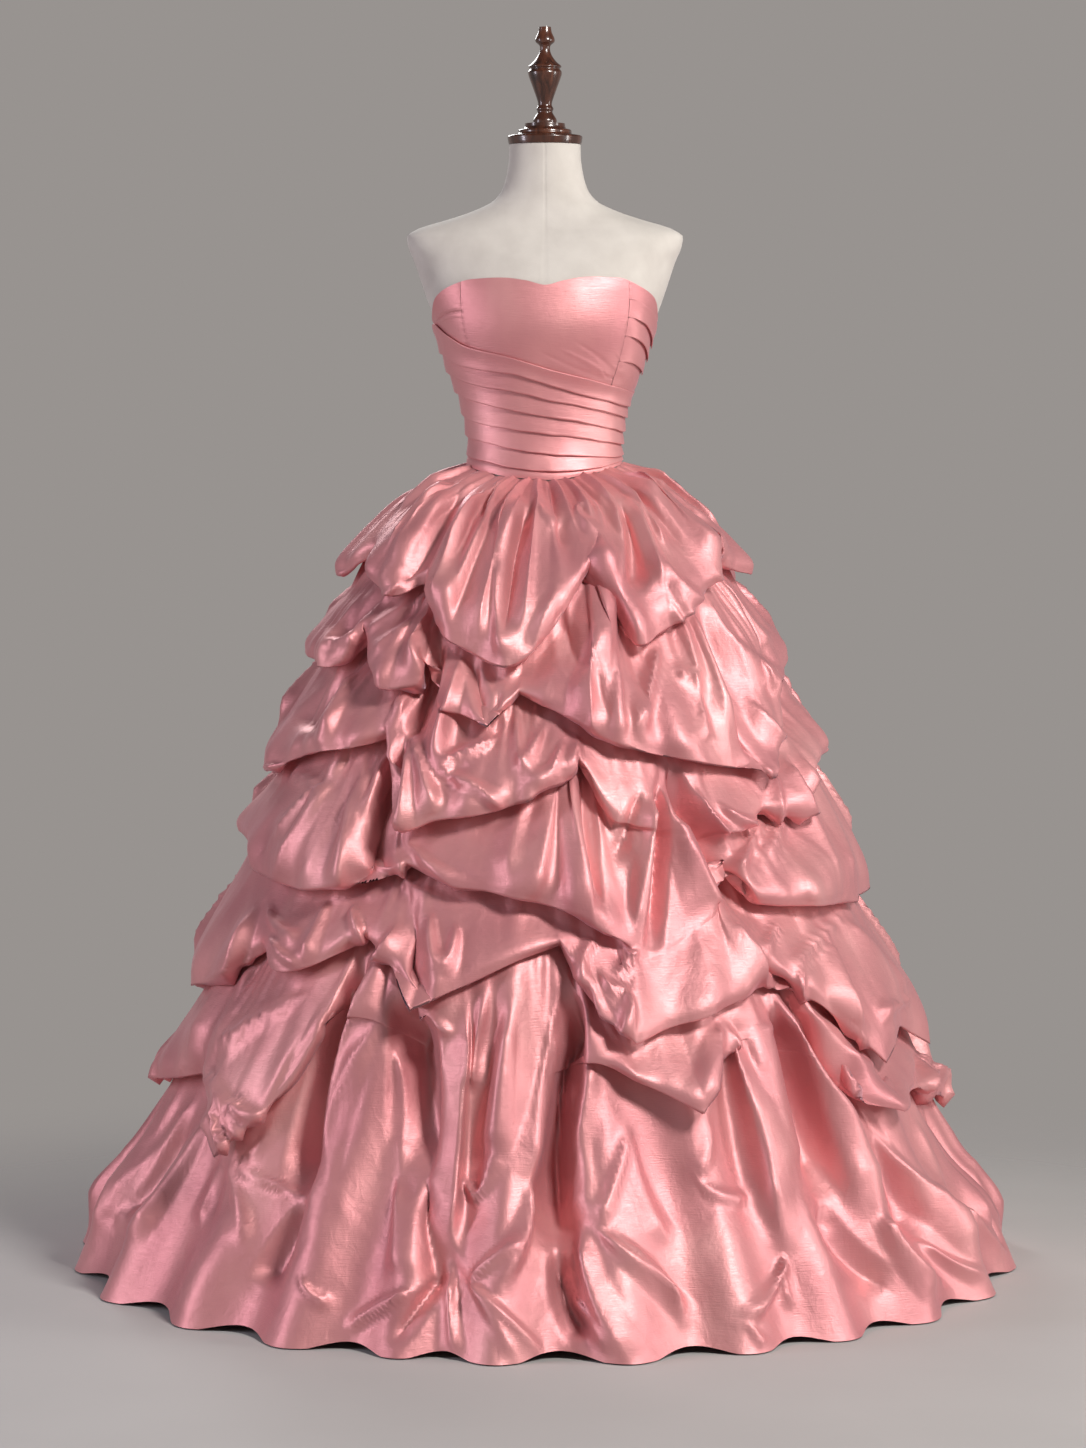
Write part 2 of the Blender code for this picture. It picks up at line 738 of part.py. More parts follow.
def swag_edges(angle):
    """Height and tuck of each swag's lower edge, from the top down, at one angle."""
    edges = []
    ceiling = round_value(WAIST_SEAM, angle, 1) - 2.0 * LEAST_DROP
    for rows in SWAGS:
        height = min(round_value(rows, angle, 1, 3), ceiling)
        tuck = min(1.0, max(0.0, round_value(rows, angle, 2)))
        edges.append((height, tuck))
        ceiling = height - LEAST_DROP
    return edges


def reach(height):
    """Radius of the swags at a height."""
    return table_value(REACH, height, 1)


def bump(away, width):
    """A rounded ridge of height 1, at a distance from its line."""
    share = away / width
    return math.exp(-share * share) if abs(share) < 3.0 else 0.0


def catches(swag):
    """Angle and side of each catch of a swag's edge: 1 is caught up, -1 hangs to a point."""
    found = []
    rows = SWAGS[swag]
    for number, row in enumerate(rows):
        if row[3]:
            around = 0.5 * (rows[number - 1][1] + rows[(number + 1) % len(rows)][1])
            found.append((row[0], 1 if row[1] > around else -1))
    return found


def catch_shift(swag, angle):
    """How far the catches of a swag's edge move it in or out at one angle."""
    total = 0.0
    for middle, side in CATCHES[swag]:
        size = -CATCH_IN if side > 0 else POINT_OUT
        total += size * bump(wrap(angle - middle), CATCH_WIDTH)
    return total


def catch_folds(swag, angle, share):
    """Height of the folds that fan down over a swag from the catches above it."""
    if swag == 0:
        return 0.0
    total = 0.0
    for middle, side in CATCHES[swag - 1]:
        if side > 0:
            for top, bottom, height in CATCH_FOLDS:
                width = CATCH_FOLD_WIDTH * blend(0.45, 1.0, share)
                away = wrap(angle - middle - blend(top, bottom, share))
                total += height * bump(away, width) * blend(1.0, 0.55, share)
    return total


def fold_height(swag, angle, share):
    """How far the folds of a swag stand out, share of the way down it."""
    total = catch_folds(swag, angle, share)
    for number, top, bottom, width, height in SWAG_FOLDS:
        if number == swag:
            away = wrap(angle - blend(top, bottom, share))
            total += height * bump(away, width * blend(0.35, 1.0, share)) * blend(0.25, 1.0, share)
    return total


def flute_height(angle, height):
    """How far the flutes above the hem stand out at a height."""
    share = min(1.0, max(0.0, (FLUTE_TOP - height) / FLUTE_TOP))
    total = 0.0
    for top, bottom, width, size in HEM_FLUTES:
        away = wrap(angle - blend(top, bottom, share))
        total += size * bump(away, width * blend(0.6, 1.0, share))
    return total * blend(0.4, 1.0, share)


def gather_height(angle):
    """How far the uneven gathers of the waist seam stand out at one angle."""
    place = angle
    for turns, drift in GATHER_DRIFTS:
        place += drift * math.sin(math.radians(turns * angle + GATHER_PHASE * drift))
    wave = 0.5 - 0.5 * math.cos(math.radians(GATHER_COUNT * place))
    uneven = 1.0 + GATHER_UNEVEN * math.sin(math.radians(UNEVEN_TURNS * angle))
    return GATHER_HEIGHT * wave * uneven


def skirt_profile(angle):
    """Radius and height of each row of the skirt at one angle, from the waist to the hem."""
    seam = round_value(WAIST_SEAM, angle, 1) - SEAM_GAP
    gathers = [share * gather_height(angle) for share in GATHER_FADE]
    rows = [(reach(seam) + gathers[0], seam)]
    rows.append((reach(seam - 0.020) + gathers[1], seam - 0.020))
    leave_height = seam - 0.050
    leave_radius = reach(leave_height) + gathers[2]
    edges = swag_edges(angle)
    last_tuck = edges[-1][1]
    for swag, (height, tuck) in enumerate(edges):
        lowest = swag == len(edges) - 1
        free = 1.0 - last_tuck if lowest else 0.0
        leave_radius += fold_height(swag, angle, 0.0)
        leave_radius += free * flute_height(angle, leave_height) * 0.5
        rows.append((leave_radius, leave_height))
        belly_height = blend(height, leave_height, 0.30)
        belly_radius = reach(belly_height) + SWAG_BELLY * tuck
        belly_radius += fold_height(swag, angle, 0.75) + 0.5 * catch_shift(swag, angle)
        belly_radius += free * (flute_height(angle, belly_height) - LOOSE_INSET * HEM_INSET)
        if swag == 0:
            belly_radius += gathers[3]
        rows.append((belly_radius, belly_height))
        edge_radius = reach(height) + 0.3 * SWAG_BELLY * tuck
        edge_radius += fold_height(swag, angle, 1.0) + catch_shift(swag, angle)
        edge_radius += free * (flute_height(angle, height) - HEM_INSET)
        rows.append((edge_radius, height))
        rise = blend(-LOOSE_DROP, TUCK_RISE, tuck)
        rows.append((edge_radius - TUCK_DEPTH * tuck, height + rise))
        leave_height = height - blend(0.030, 0.012, tuck)
        drawn_in = LEAVE_DEPTH * tuck + fold_height(swag, angle, 1.0) * tuck
        leave_radius = edge_radius - min(drawn_in, 0.75 * TUCK_DEPTH * tuck)
    start_radius = leave_radius - last_tuck * 0.004
    for share in HEM_ROWS:
        valley = 1.0 - min(1.0, flute_height(angle, 0.0) / FLUTE_DOWN)
        low = HEM_LOW + HEM_LIFT * valley
        height = blend(leave_height, low, share)
        radius = reach(height) - HEM_INSET + flute_height(angle, height)
        rows.append((blend(start_radius, radius, smoothstep(share * 2.2)), height))
    return rows


def skirt_point(angle, radius, height):
    ratio = blend(
        BODY_DEPTH_RATIO,
        1.0,
        smoothstep((1.10 - height) / (1.10 - FULL_DEPTH_HEIGHT)),
    )
    turn = math.radians(angle)
    return Vector((radius * math.sin(turn), -radius * ratio * math.cos(turn), height))


def skirt_column(angle):
    """Points down one column of the skirt, from its edge under the bodice's to the hem."""
    profile = skirt_profile(angle)
    turn = math.radians(angle)
    bearing = math.degrees(math.atan2(math.sin(turn), BODY_DEPTH_RATIO * math.cos(turn)))
    top = form_point(bearing, profile[0][1], FORM_CLEARANCE + CLOTH)
    return [top] + [skirt_point(angle, radius, height) for radius, height in profile[1:]]


def build_skirt():
    for name, start, end in GORES:
        angles = panel_angles(start, end, SKIRT_COLUMN, 0.30)
        columns = [skirt_column(a) for a in angles]
        grid = [list(row) for row in zip(*columns)]
        add_wall(name, grid, CLOTH, "taffeta")


# Bodice

def pleat_height(line, bearing):
    """Height of a fold line of the drape at one bearing."""
    rows = [(a, h) for a, h in zip(PLEAT_ANGLES, line)]
    return round_value(rows, body_angle(bearing), 1)


def drape_lines(bearing):
    """Heights of the drape's fold lines and of the waist seam under them."""
    heights = [pleat_height(line, bearing) for line in PLEAT_LINES]
    heights.append(round_value(WAIST_SEAM, body_angle(bearing), 1))
    return heights


def side_drape_lines(bearing):
    """Heights of the side drape's fold lines, ending under the main drape's top fold."""
    rows = zip(*((SIDE_PLEAT_ANGLES,) + SIDE_PLEAT_LINES))
    table = [tuple(row) for row in rows]
    columns = range(1, len(SIDE_PLEAT_LINES) + 1)
    heights = [table_value(table, body_angle(bearing), column) for column in columns]
    heights.append(pleat_height(PLEAT_LINES[0], bearing) - PANEL_LAP)
    return heights


def pleated_column(bearing, heights):
    """Points down a column of overlapping pleats, each standing out at its fold."""
    base = FORM_CLEARANCE + CLOTH
    points = []
    for top, bottom in zip(heights, heights[1:]):
        points.append(form_point(bearing, top, base + PLEAT_STEP))
        lap = 0.0 if bottom == heights[-1] else min(PLEAT_LAP, 0.3 * (top - bottom))
        points.append(form_point(bearing, bottom + lap, base))
    return points


def add_pleats(name, start, end, lines):
    angles = panel_angles(start, end, PANEL_COLUMN, 0.13)
    columns = [pleated_column(a, lines(a)) for a in angles]
    add_wall(name, [list(row) for row in zip(*columns)], CLOTH, "taffeta")


def add_panel(name, start, end, lines):
    """A smooth panel of the bodice, from the neckline to its lap under a drape's top fold."""
    offset = FORM_CLEARANCE + CLOTH
    angles = panel_angles(start, end, PANEL_COLUMN, 0.13)
    columns = []
    for a in angles:
        top = round_value(NECKLINE, body_angle(a), 1)
        bottom = lines(a)[0] - PANEL_LAP
        shares = [row / (PANEL_ROWS - 1) for row in range(PANEL_ROWS)]
        columns.append([form_point(a, blend(top, bottom, s), offset) for s in shares])
    add_wall(name, [list(row) for row in zip(*columns)], CLOTH, "taffeta")


def build_bodice():
    princess = PRINCESS_ANGLE
    add_panel("bodice_front", -princess, princess, drape_lines)
    add_panel("bodice_side_front_right", princess, 90.0, side_drape_lines)
    add_panel("bodice_back_right", 90.0, 180.0, drape_lines)
    add_panel("bodice_back_left", 180.0, 270.0, drape_lines)
    add_panel("bodice_side_front_left", 270.0, 360.0 - princess, drape_lines)
    add_pleats("bodice_drape_front", -90.0, 90.0, drape_lines)
    add_pleats("bodice_drape_back_right", 90.0, 180.0, drape_lines)
    add_pleats("bodice_drape_back_left", 180.0, 270.0, drape_lines)
    add_pleats("bodice_drape_side_right", princess, 90.0, side_drape_lines)


# Dress form and stand

def ring_faces(rings, sides):
    """Faces of a stack of rings from the bottom up, with a flat end on each."""
    faces = []
    for i in range(rings - 1):
        for j in range(sides):
            k = (j + 1) % sides
            faces.append((i * sides + j, i * sides + k, (i + 1) * sides + k, (i + 1) * sides + j))
    faces.append(tuple(range(sides - 1, -1, -1)))
    faces.append(tuple((rings - 1) * sides + j for j in range(sides)))
    return faces


def add_turned(name, profile, foot, sides, material_name):
    """A turned piece: its profile's radii and heights above its foot."""
    points = []
    for radius, rise in profile:
        for j in range(sides):
            turn = 2.0 * math.pi * j / sides
            points.append(Vector((radius * math.cos(turn), radius * math.sin(turn), foot + rise)))
    return add_object(name, points, ring_faces(len(profile), sides), material_name)


def build_form():
    heights = [FORM_SECTIONS[0][0]]
    for low, high in zip(FORM_SECTIONS, FORM_SECTIONS[1:]):
        steps = math.ceil((high[0] - low[0]) / FORM_RING_SPACING)
        heights += [blend(low[0], high[0], (i + 1) / steps) for i in range(steps)]
    points = []
    for height in heights:
        for j in range(FORM_SIDES):
            points.append(form_point(360.0 * j / FORM_SIDES, height, 0.0))
    faces = ring_faces(len(heights), FORM_SIDES)
    add_object("form_torso", points, faces, "linen")
    neck_top = FORM_SECTIONS[-1][0]
    add_turned("form_neck_cap", CAP_PROFILE, neck_top, TURNED_SIDES, "dark_wood")
    cap_top = neck_top + CAP_PROFILE[-1][1]
    add_turned("form_finial", FINIAL_PROFILE, cap_top, TURNED_SIDES, "dark_wood")


def build_stand():
    base = (
        (BASE_RADIUS, 0.0),
        (BASE_RADIUS, BASE_THICKNESS - BASE_EDGE),
        (BASE_RADIUS - BASE_EDGE, BASE_THICKNESS),
    )
    add_turned("form_base", base, 0.0, BASE_SIDES, "dark_wood")
    length = FORM_SECTIONS[0][0] - BASE_THICKNESS - 2.0 * SEAM_GAP
    pole = ((POLE_RADIUS, 0.0), (POLE_RADIUS, length))
    add_turned("form_pole", pole, BASE_THICKNESS + SEAM_GAP, POLE_SIDES, "black_metal")


CATCHES = [catches(swag) for swag in range(len(SWAGS))]


def main():
    clear_scene()
    build_form()
    build_stand()
    build_bodice()
    build_skirt()


main()
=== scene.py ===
"""Looks of a strapless ball gown on a limbless dress form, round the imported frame.

Angles are in degrees round the upright axis: 0 is the front and +90 is the +X side.
Lengths are in metres. A pixel is one of the photograph's 1086 by 1448.
"""

import math
import random

import bpy
import numpy as np
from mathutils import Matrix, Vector, noise


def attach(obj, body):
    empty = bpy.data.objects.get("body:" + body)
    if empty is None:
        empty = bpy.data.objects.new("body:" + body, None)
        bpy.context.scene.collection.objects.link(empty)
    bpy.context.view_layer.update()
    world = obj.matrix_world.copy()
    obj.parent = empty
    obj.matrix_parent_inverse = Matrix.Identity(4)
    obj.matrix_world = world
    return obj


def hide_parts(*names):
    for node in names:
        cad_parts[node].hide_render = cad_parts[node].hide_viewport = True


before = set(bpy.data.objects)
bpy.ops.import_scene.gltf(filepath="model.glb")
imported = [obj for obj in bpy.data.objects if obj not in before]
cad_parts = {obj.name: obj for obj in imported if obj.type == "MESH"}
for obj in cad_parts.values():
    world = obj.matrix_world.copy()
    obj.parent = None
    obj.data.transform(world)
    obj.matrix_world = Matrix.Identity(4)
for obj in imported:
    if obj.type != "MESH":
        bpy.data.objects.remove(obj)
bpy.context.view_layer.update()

MM = 0.001

# Cloth and seams
CLOTH = 1.5 * MM
SEAM_GAP = 0.3 * MM
FORM_CLEARANCE = 1.4 * MM


# Slope of a swag's edge as it reaches a catch, against its mean slope
CORNER_SLOPE = 1.3


# Gores, as the angles of their seams; the last seam is the centre back
GORES = (
    ("skirt_gore_front", -36, 36), ("skirt_gore_side_front_right", 36, 84),
    ("skirt_gore_side_back_right", 84, 132), ("skirt_gore_back_right", 132, 180),
    ("skirt_gore_back_left", 180, 228), ("skirt_gore_side_back_left", 228, 276),
    ("skirt_gore_side_front_left", 276, 324),
)

# Sections of the dress form: height, half width, front depth, back depth, squareness
FORM_SECTIONS = (
    (0.86, 0.15, 0.105, 0.112, 2.2), (0.93, 0.16, 0.112, 0.122, 2.2),
    (1, 0.148, 0.105, 0.118, 2.2), (1.06, 0.122, 0.092, 0.098, 2.1),
    (1.108, 0.1045, 0.084, 0.086, 2.1), (1.132, 0.102, 0.082, 0.083, 2.1),
    (1.16, 0.1055, 0.0845, 0.084, 2.1), (1.2, 0.115, 0.0925, 0.086, 2.1),
    (1.25, 0.135, 0.109, 0.091, 2.1), (1.305, 0.152, 0.122, 0.096, 2.1),
    (1.345, 0.166, 0.117, 0.099, 2.1), (1.387, 0.18, 0.096, 0.099, 2.2),
    (1.408, 0.1885, 0.082, 0.092, 2.3), (1.421, 0.1905, 0.073, 0.084, 2.3),
    (1.431, 0.178, 0.065, 0.076, 2.2), (1.446, 0.13, 0.059, 0.068, 2.1),
    (1.457, 0.098, 0.056, 0.062, 2), (1.47, 0.072, 0.053, 0.057, 2),
    (1.486, 0.059, 0.051, 0.053, 2), (1.508, 0.0525, 0.05, 0.051, 2),
    (1.528, 0.0496, 0.0496, 0.0496, 2), (1.5475, 0.049, 0.049, 0.049, 2),
)
FORM_SIDES = 180
FORM_STEP = 5 * MM
# Front seam of the form's cover
FRONT_SEAM_DEPTH = 0.7 * MM
FRONT_SEAM_WIDTH = 2.2 * MM
METRES_PER_DEGREE = 0.0021

# Turned wooden cap, from its seat on the neck: radius, height above the neck
CAP_PROFILE = (
    (0.05, 0.0005), (0.0512, 0.006), (0.0505, 0.012), (0.038, 0.0145), (0.036, 0.02),
    (0.029, 0.0225), (0.0275, 0.029),
)
# Turned finial, from the cap: radius, height above the cap
FINIAL_PROFILE = (
    (0.0165, 0.0003), (0.0158, 0.006), (0.0105, 0.015), (0.0118, 0.02), (0.0095, 0.027),
    (0.015, 0.044), (0.022, 0.063), (0.0232, 0.07), (0.0205, 0.0745), (0.0226, 0.078),
    (0.015, 0.085), (0.0085, 0.095), (0.0072, 0.105), (0.013, 0.111), (0.013, 0.116),
    (0.0095, 0.124), (0.0082, 0.1315),
)
TURNED_SIDES = 72
SHARP_ANGLE = 50

# Neckline and waist seam round the body: angle, height
NECKLINE = (
    (-180, 1.272), (-120, 1.285), (-90, 1.304), (-78, 1.314), (-64, 1.338), (-52, 1.352),
    (-40, 1.361), (-24, 1.363), (-10, 1.359), (0, 1.353), (10, 1.359), (24, 1.364), (40, 1.363),
    (52, 1.352), (64, 1.338), (78, 1.314), (90, 1.304), (120, 1.285),
)
WAIST_SEAM = (
    (-180, 1.108), (-90, 1.108), (-46, 1.099), (-22, 1.092), (5, 1.089), (32, 1.097),
    (79, 1.108), (120, 1.108),
)

# Fold lines of the drape, top to bottom, at these angles round the body
PLEAT_ANGLES = (-180, -135, -92, -77, -60, -46, -20, 4, 22, 48, 80, 135)
PLEAT_LINES = (
    (1.246, 1.264, 1.291, 1.301, 1.285, 1.27, 1.255, 1.237, 1.227, 1.215, 1.207, 1.228),
    (1.224, 1.239, 1.262, 1.26, 1.247, 1.24, 1.233, 1.217, 1.206, 1.195, 1.188, 1.207),
    (1.203, 1.216, 1.236, 1.232, 1.224, 1.217, 1.209, 1.197, 1.19, 1.18, 1.173, 1.188),
    (1.181, 1.192, 1.209, 1.206, 1.199, 1.193, 1.183, 1.174, 1.169, 1.16, 1.154, 1.168),
    (1.16, 1.169, 1.179, 1.175, 1.168, 1.164, 1.157, 1.151, 1.147, 1.141, 1.137, 1.149),
    (1.138, 1.146, 1.15, 1.147, 1.143, 1.139, 1.13, 1.124, 1.122, 1.12, 1.122, 1.131),
    (1.12, 1.124, 1.123, 1.12, 1.117, 1.114, 1.105, 1.101, 1.102, 1.108, 1.114, 1.119),
)
# Fold lines of the short drape beside the right princess seam, at these angles
SIDE_PLEAT_ANGLES = (49, 60, 72, 88)
SIDE_PLEAT_LINES = (
    (1.334, 1.322, 1.308, 1.29), (1.309, 1.301, 1.286, 1.268), (1.284, 1.276, 1.264, 1.25),
    (1.25, 1.246, 1.24, 1.232),
)

PRINCESS_ANGLE = 52.0
PANEL_LAP = 3.0 * MM


# Outer reach of the swags: height, radius
REACH = (
    (0, 0.648), (0.02, 0.643), (0.07, 0.622), (0.15, 0.578), (0.22, 0.548), (0.3, 0.518),
    (0.38, 0.49), (0.45, 0.47), (0.53, 0.432), (0.61, 0.408), (0.7, 0.38), (0.78, 0.346),
    (0.864, 0.308), (0.92, 0.285), (0.98, 0.26), (1.017, 0.242), (1.051, 0.206), (1.08, 0.16),
    (1.1, 0.124), (1.115, 0.109),
)

# Lower edges of the six swags. Columns: angle, height, tuck (1 is a deep fold, 0 none),
# corner (1 where the cloth is caught to a point)
SWAG_1 = (
    (-165, 0.96, 1, 1), (-140, 1, 0.9, 1), (-122, 0.93, 1, 1), (-104, 0.985, 0.9, 1),
    (-90, 0.952, 1, 0), (-70, 0.99, 0.7, 1), (-54, 0.95, 1, 0), (-44.5, 0.934, 0.9, 0),
    (-36, 0.964, 0.7, 1), (-29, 0.9, 0.9, 0), (-20, 0.868, 1, 0), (-9, 0.846, 1, 0),
    (-2, 0.872, 1, 0), (8, 0.94, 1, 0), (17, 1.006, 0.8, 1), (23, 0.872, 1, 0),
    (31, 0.888, 0.9, 0), (46, 0.93, 0.9, 0), (66, 0.976, 0.7, 1), (84, 0.955, 1, 0),
    (102, 0.99, 1, 1), (122, 0.9, 1, 1), (142, 0.97, 0.8, 1), (160, 0.915, 1, 1),
    (176, 0.99, 1, 1),
)
SWAG_2 = (
    (-168, 0.85, 0.9, 0), (-148, 0.9, 0.9, 1), (-128, 0.8, 1, 1), (-104, 0.88, 0.3, 1),
    (-84, 0.845, 1, 0), (-62, 0.834, 1, 0), (-54, 0.876, 0.8, 1), (-45, 0.835, 1, 0),
    (-37, 0.812, 1, 0), (-32, 0.85, 0.8, 1), (-24, 0.8, 0.2, 0), (-12, 0.772, 0.8, 1),
    (-6, 0.812, 1, 1), (3, 0.788, 1, 0), (16, 0.744, 1, 0), (34, 0.718, 1, 0), (50, 0.696, 1, 1),
    (60, 0.742, 0.9, 0), (72, 0.796, 0.7, 1), (88, 0.838, 1, 0), (104, 0.872, 0.9, 1),
    (128, 0.776, 1, 1), (150, 0.85, 0.9, 1), (170, 0.79, 0.9, 1),
)
SWAG_3 = (
    (-172, 0.69, 1, 0), (-150, 0.76, 1, 1), (-130, 0.66, 1, 1), (-112, 0.72, 0.9, 1),
    (-92, 0.68, 1, 0), (-74, 0.69, 0.9, 0), (-58, 0.72, 1, 0), (-42, 0.738, 1, 0),
    (-36.5, 0.754, 0.8, 1), (-27, 0.634, 0.9, 0), (-20.6, 0.65, 1, 0), (-9, 0.664, 1, 0),
    (-1, 0.694, 1, 0), (7, 0.724, 1, 1), (14, 0.65, 0.3, 0), (30, 0.64, 0, 0),
    (40, 0.63, 0.5, 0), (48, 0.646, 0.9, 1), (58, 0.64, 0.6, 0), (70, 0.69, 0.9, 0),
    (88, 0.716, 1, 0), (104, 0.74, 1, 1), (130, 0.63, 1, 1), (152, 0.71, 0.4, 1),
    (172, 0.66, 0.9, 1),
)
SWAG_4 = (
    (-172, 0.56, 0.1, 0), (-156, 0.6, 0.9, 1), (-134, 0.5, 1, 1), (-112, 0.58, 0.8, 1),
    (-92, 0.595, 1, 0), (-76, 0.59, 1, 0), (-64, 0.56, 0.9, 0), (-50, 0.548, 0.9, 0),
    (-38, 0.558, 1, 0), (-31, 0.572, 1, 0), (-26, 0.588, 0.9, 1), (-18, 0.574, 1, 0),
    (-8, 0.56, 1, 0), (3, 0.54, 1, 0), (9.5, 0.512, 1, 1), (15, 0.5, 0, 0), (29, 0.54, 0, 0),
    (36, 0.57, 0.9, 1), (41, 0.534, 1, 0), (54, 0.524, 1, 0), (70, 0.514, 1, 1),
    (88, 0.52, 1, 0), (106, 0.59, 1, 1), (128, 0.49, 0.9, 1), (152, 0.56, 0.9, 1),
    (172, 0.51, 0.2, 0),
)
SWAG_5 = (
    (-178, 0.44, 0.9, 1), (-158, 0.38, 1, 1), (-136, 0.42, 0.2, 1), (-112, 0.35, 1, 0),
    (-92, 0.374, 1, 0), (-72, 0.402, 0.9, 0), (-57, 0.46, 0.8, 1), (-46, 0.446, 1, 0),
    (-32, 0.494, 1, 1), (-26, 0.47, 0.6, 0), (-20, 0.414, 1, 1), (-12, 0.448, 1, 0),
    (-4, 0.478, 1, 0), (2.5, 0.494, 1, 1), (7, 0.43, 1, 0), (13, 0.377, 1, 1), (25, 0.406, 1, 0),
    (38.5, 0.432, 1, 1), (46, 0.41, 0.8, 0), (59.5, 0.312, 0.9, 1), (70, 0.345, 0.9, 0),
    (84, 0.302, 1, 1), (104, 0.4, 0.9, 1), (128, 0.33, 1, 1), (154, 0.42, 0.9, 1),
    (168, 0.37, 0.8, 1),
)
SWAG_6 = (
    (-176, 0.27, 0.5, 0), (-158, 0.23, 0, 0), (-140, 0.29, 0.2, 1), (-120, 0.215, 1, 1),
    (-92, 0.25, 1, 0), (-76, 0.268, 0.9, 0), (-64, 0.292, 0.9, 1), (-57, 0.258, 0.9, 0),
    (-48.5, 0.206, 1, 1), (-42.5, 0.27, 1, 0), (-36, 0.385, 0.6, 0), (-29, 0.4, 0.1, 0),
    (-16, 0.35, 0, 0), (0, 0.34, 0, 0), (7, 0.352, 0.4, 0), (13, 0.33, 1, 0),
    (21.5, 0.288, 1, 1), (27, 0.35, 0.5, 0), (34, 0.372, 0, 0), (45, 0.335, 0, 0),
    (51.5, 0.272, 0.8, 0), (58.5, 0.252, 1, 1), (68, 0.262, 0.9, 0), (84, 0.232, 1, 1),
    (100, 0.2, 0.8, 1), (118, 0.26, 0.9, 1), (138, 0.205, 0, 0), (158, 0.28, 0, 1),
)
SWAGS = (SWAG_1, SWAG_2, SWAG_3, SWAG_4, SWAG_5, SWAG_6)

# How far a full tuck runs up and in behind its lower edge
TUCK_RISE = 0.036
TUCK_DEPTH = 0.040
LEAVE_DEPTH = 0.012
LOOSE_DROP = 0.016
SWAG_BELLY = 0.012
LEAST_DROP = 0.030
# Depth of the first two rows under the waist seam
SEAM_DROP = 0.020
GATHER_DROP = 0.050
# The next swag leaves this far under an edge, where it is loose and where it is tucked
LOOSE_LEAVE = 0.030
TUCKED_LEAVE = 0.012
MOST_DRAWN_IN = 0.6
BELLY_PLACE = 0.30
HEM_START_IN = 0.004

# Where the cloth is caught up it is drawn in, and where it hangs to a point it stands out
CATCH_WIDTH = 5.0
CATCH_IN = 0.024
POINT_OUT = 0.010

# Folds that fan down from each catch: turn from it at the top and at the bottom, height
CATCH_FOLDS = ((-3.2, -11, 0.0075), (-0.8, -3.5, 0.0085), (1.4, 4, 0.008), (3.6, 12, 0.007))
CATCH_FOLD_WIDTH = 2.6

# Gathers under the waist seam: their count, their height, how far they wander in degrees,
# and how the height grows and fades from the seam down
GATHER_COUNT = 30
GATHER_HEIGHT = 0.0080
GATHER_DRIFTS = ((2.0, 3.4), (5.0, 1.5), (11.0, 0.7))
GATHER_PHASE = 40.0
GATHER_UNEVEN = 0.35
UNEVEN_TURNS = 7.0
GATHER_FADE = (0.15, 0.8, 1.1, 0.35)

# Main folds of the swags. Columns: swag, angle at its top, angle at its lower edge,
# width in degrees at the lower edge, height
SWAG_FOLDS = (
    (0, -60, -57, 6, 0.012), (0, -50, -46, 5.5, 0.012), (0, -28, -24, 4, 0.014),
    (0, -12, -9, 4.5, 0.018), (0, 4, 3, 5, 0.01), (0, 19, 24, 4, 0.016), (0, 30, 40, 5, 0.014),
    (0, 44, 58, 5, 0.012), (0, 80, 84, 6, 0.014), (0, 112, 120, 6, 0.016),
    (0, 150, 158, 6, 0.016), (0, -116, -122, 6, 0.016), (0, -158, -164, 6, 0.016),
    (0, -88, -90, 6, 0.014), (1, -70, -64, 5, 0.012), (1, -44, -39, 4.5, 0.014),
    (1, -16, -12, 4, 0.012), (1, 6, 16, 4, 0.012), (1, 22, 32, 4.5, 0.016),
    (1, 34, 49, 4, 0.012), (1, 84, 88, 6, 0.014), (1, 120, 128, 6, 0.016),
    (1, 164, 170, 6, 0.016), (1, -122, -128, 6, 0.016), (1, -160, -168, 6, 0.014),
    (1, -90, -86, 6, 0.014), (2, -56, -50, 5, 0.012), (2, -78, -74, 5, 0.014),
    (2, -26, -26, 4, 0.012), (2, -12, -14, 4, 0.012), (2, 20, 17, 4, 0.014),
    (2, 27, 27, 3.5, 0.014), (2, 33, 38, 4, 0.012), (2, 76, 86, 6, 0.014),
    (2, 124, 130, 6, 0.016), (2, 164, 172, 6, 0.014), (2, -124, -130, 6, 0.016),
    (2, -164, -172, 6, 0.014), (3, -72, -66, 5, 0.012), (3, -50, -44, 5, 0.014),
    (3, 0, -6, 4, 0.012), (3, 6, 4, 4, 0.012), (3, 17, 15, 4, 0.014), (3, 27, 26, 4, 0.014),
    (3, 48, 54, 5, 0.014), (3, 78, 86, 6, 0.014), (3, 122, 128, 6, 0.014),
    (3, 164, 172, 6, 0.014), (3, -128, -134, 6, 0.016), (3, -96, -92, 6, 0.014),
    (4, -52, -46, 5, 0.014), (4, -72, -76, 5, 0.012), (4, -24, -20, 4, 0.014),
    (4, 14, 13, 3.5, 0.016), (4, 26, 24, 4.5, 0.016), (4, 58, 66, 6, 0.014),
    (4, 80, 88, 6, 0.014), (4, 124, 128, 6, 0.016), (4, -106, -112, 6, 0.016),
    (4, -154, -158, 6, 0.016), (5, -56, -50, 5, 0.014), (5, -70, -80, 6, 0.014),
    (5, -24, -26, 4, 0.014), (5, -10, -9, 4, 0.014), (5, 18, 21, 4, 0.014),
    (5, 36, 40, 4, 0.012), (5, 54, 60, 5, 0.014), (5, 96, 100, 6, 0.014),
    (5, 134, 138, 6, 0.014), (5, -114, -120, 6, 0.014), (5, -154, -158, 6, 0.014),
)

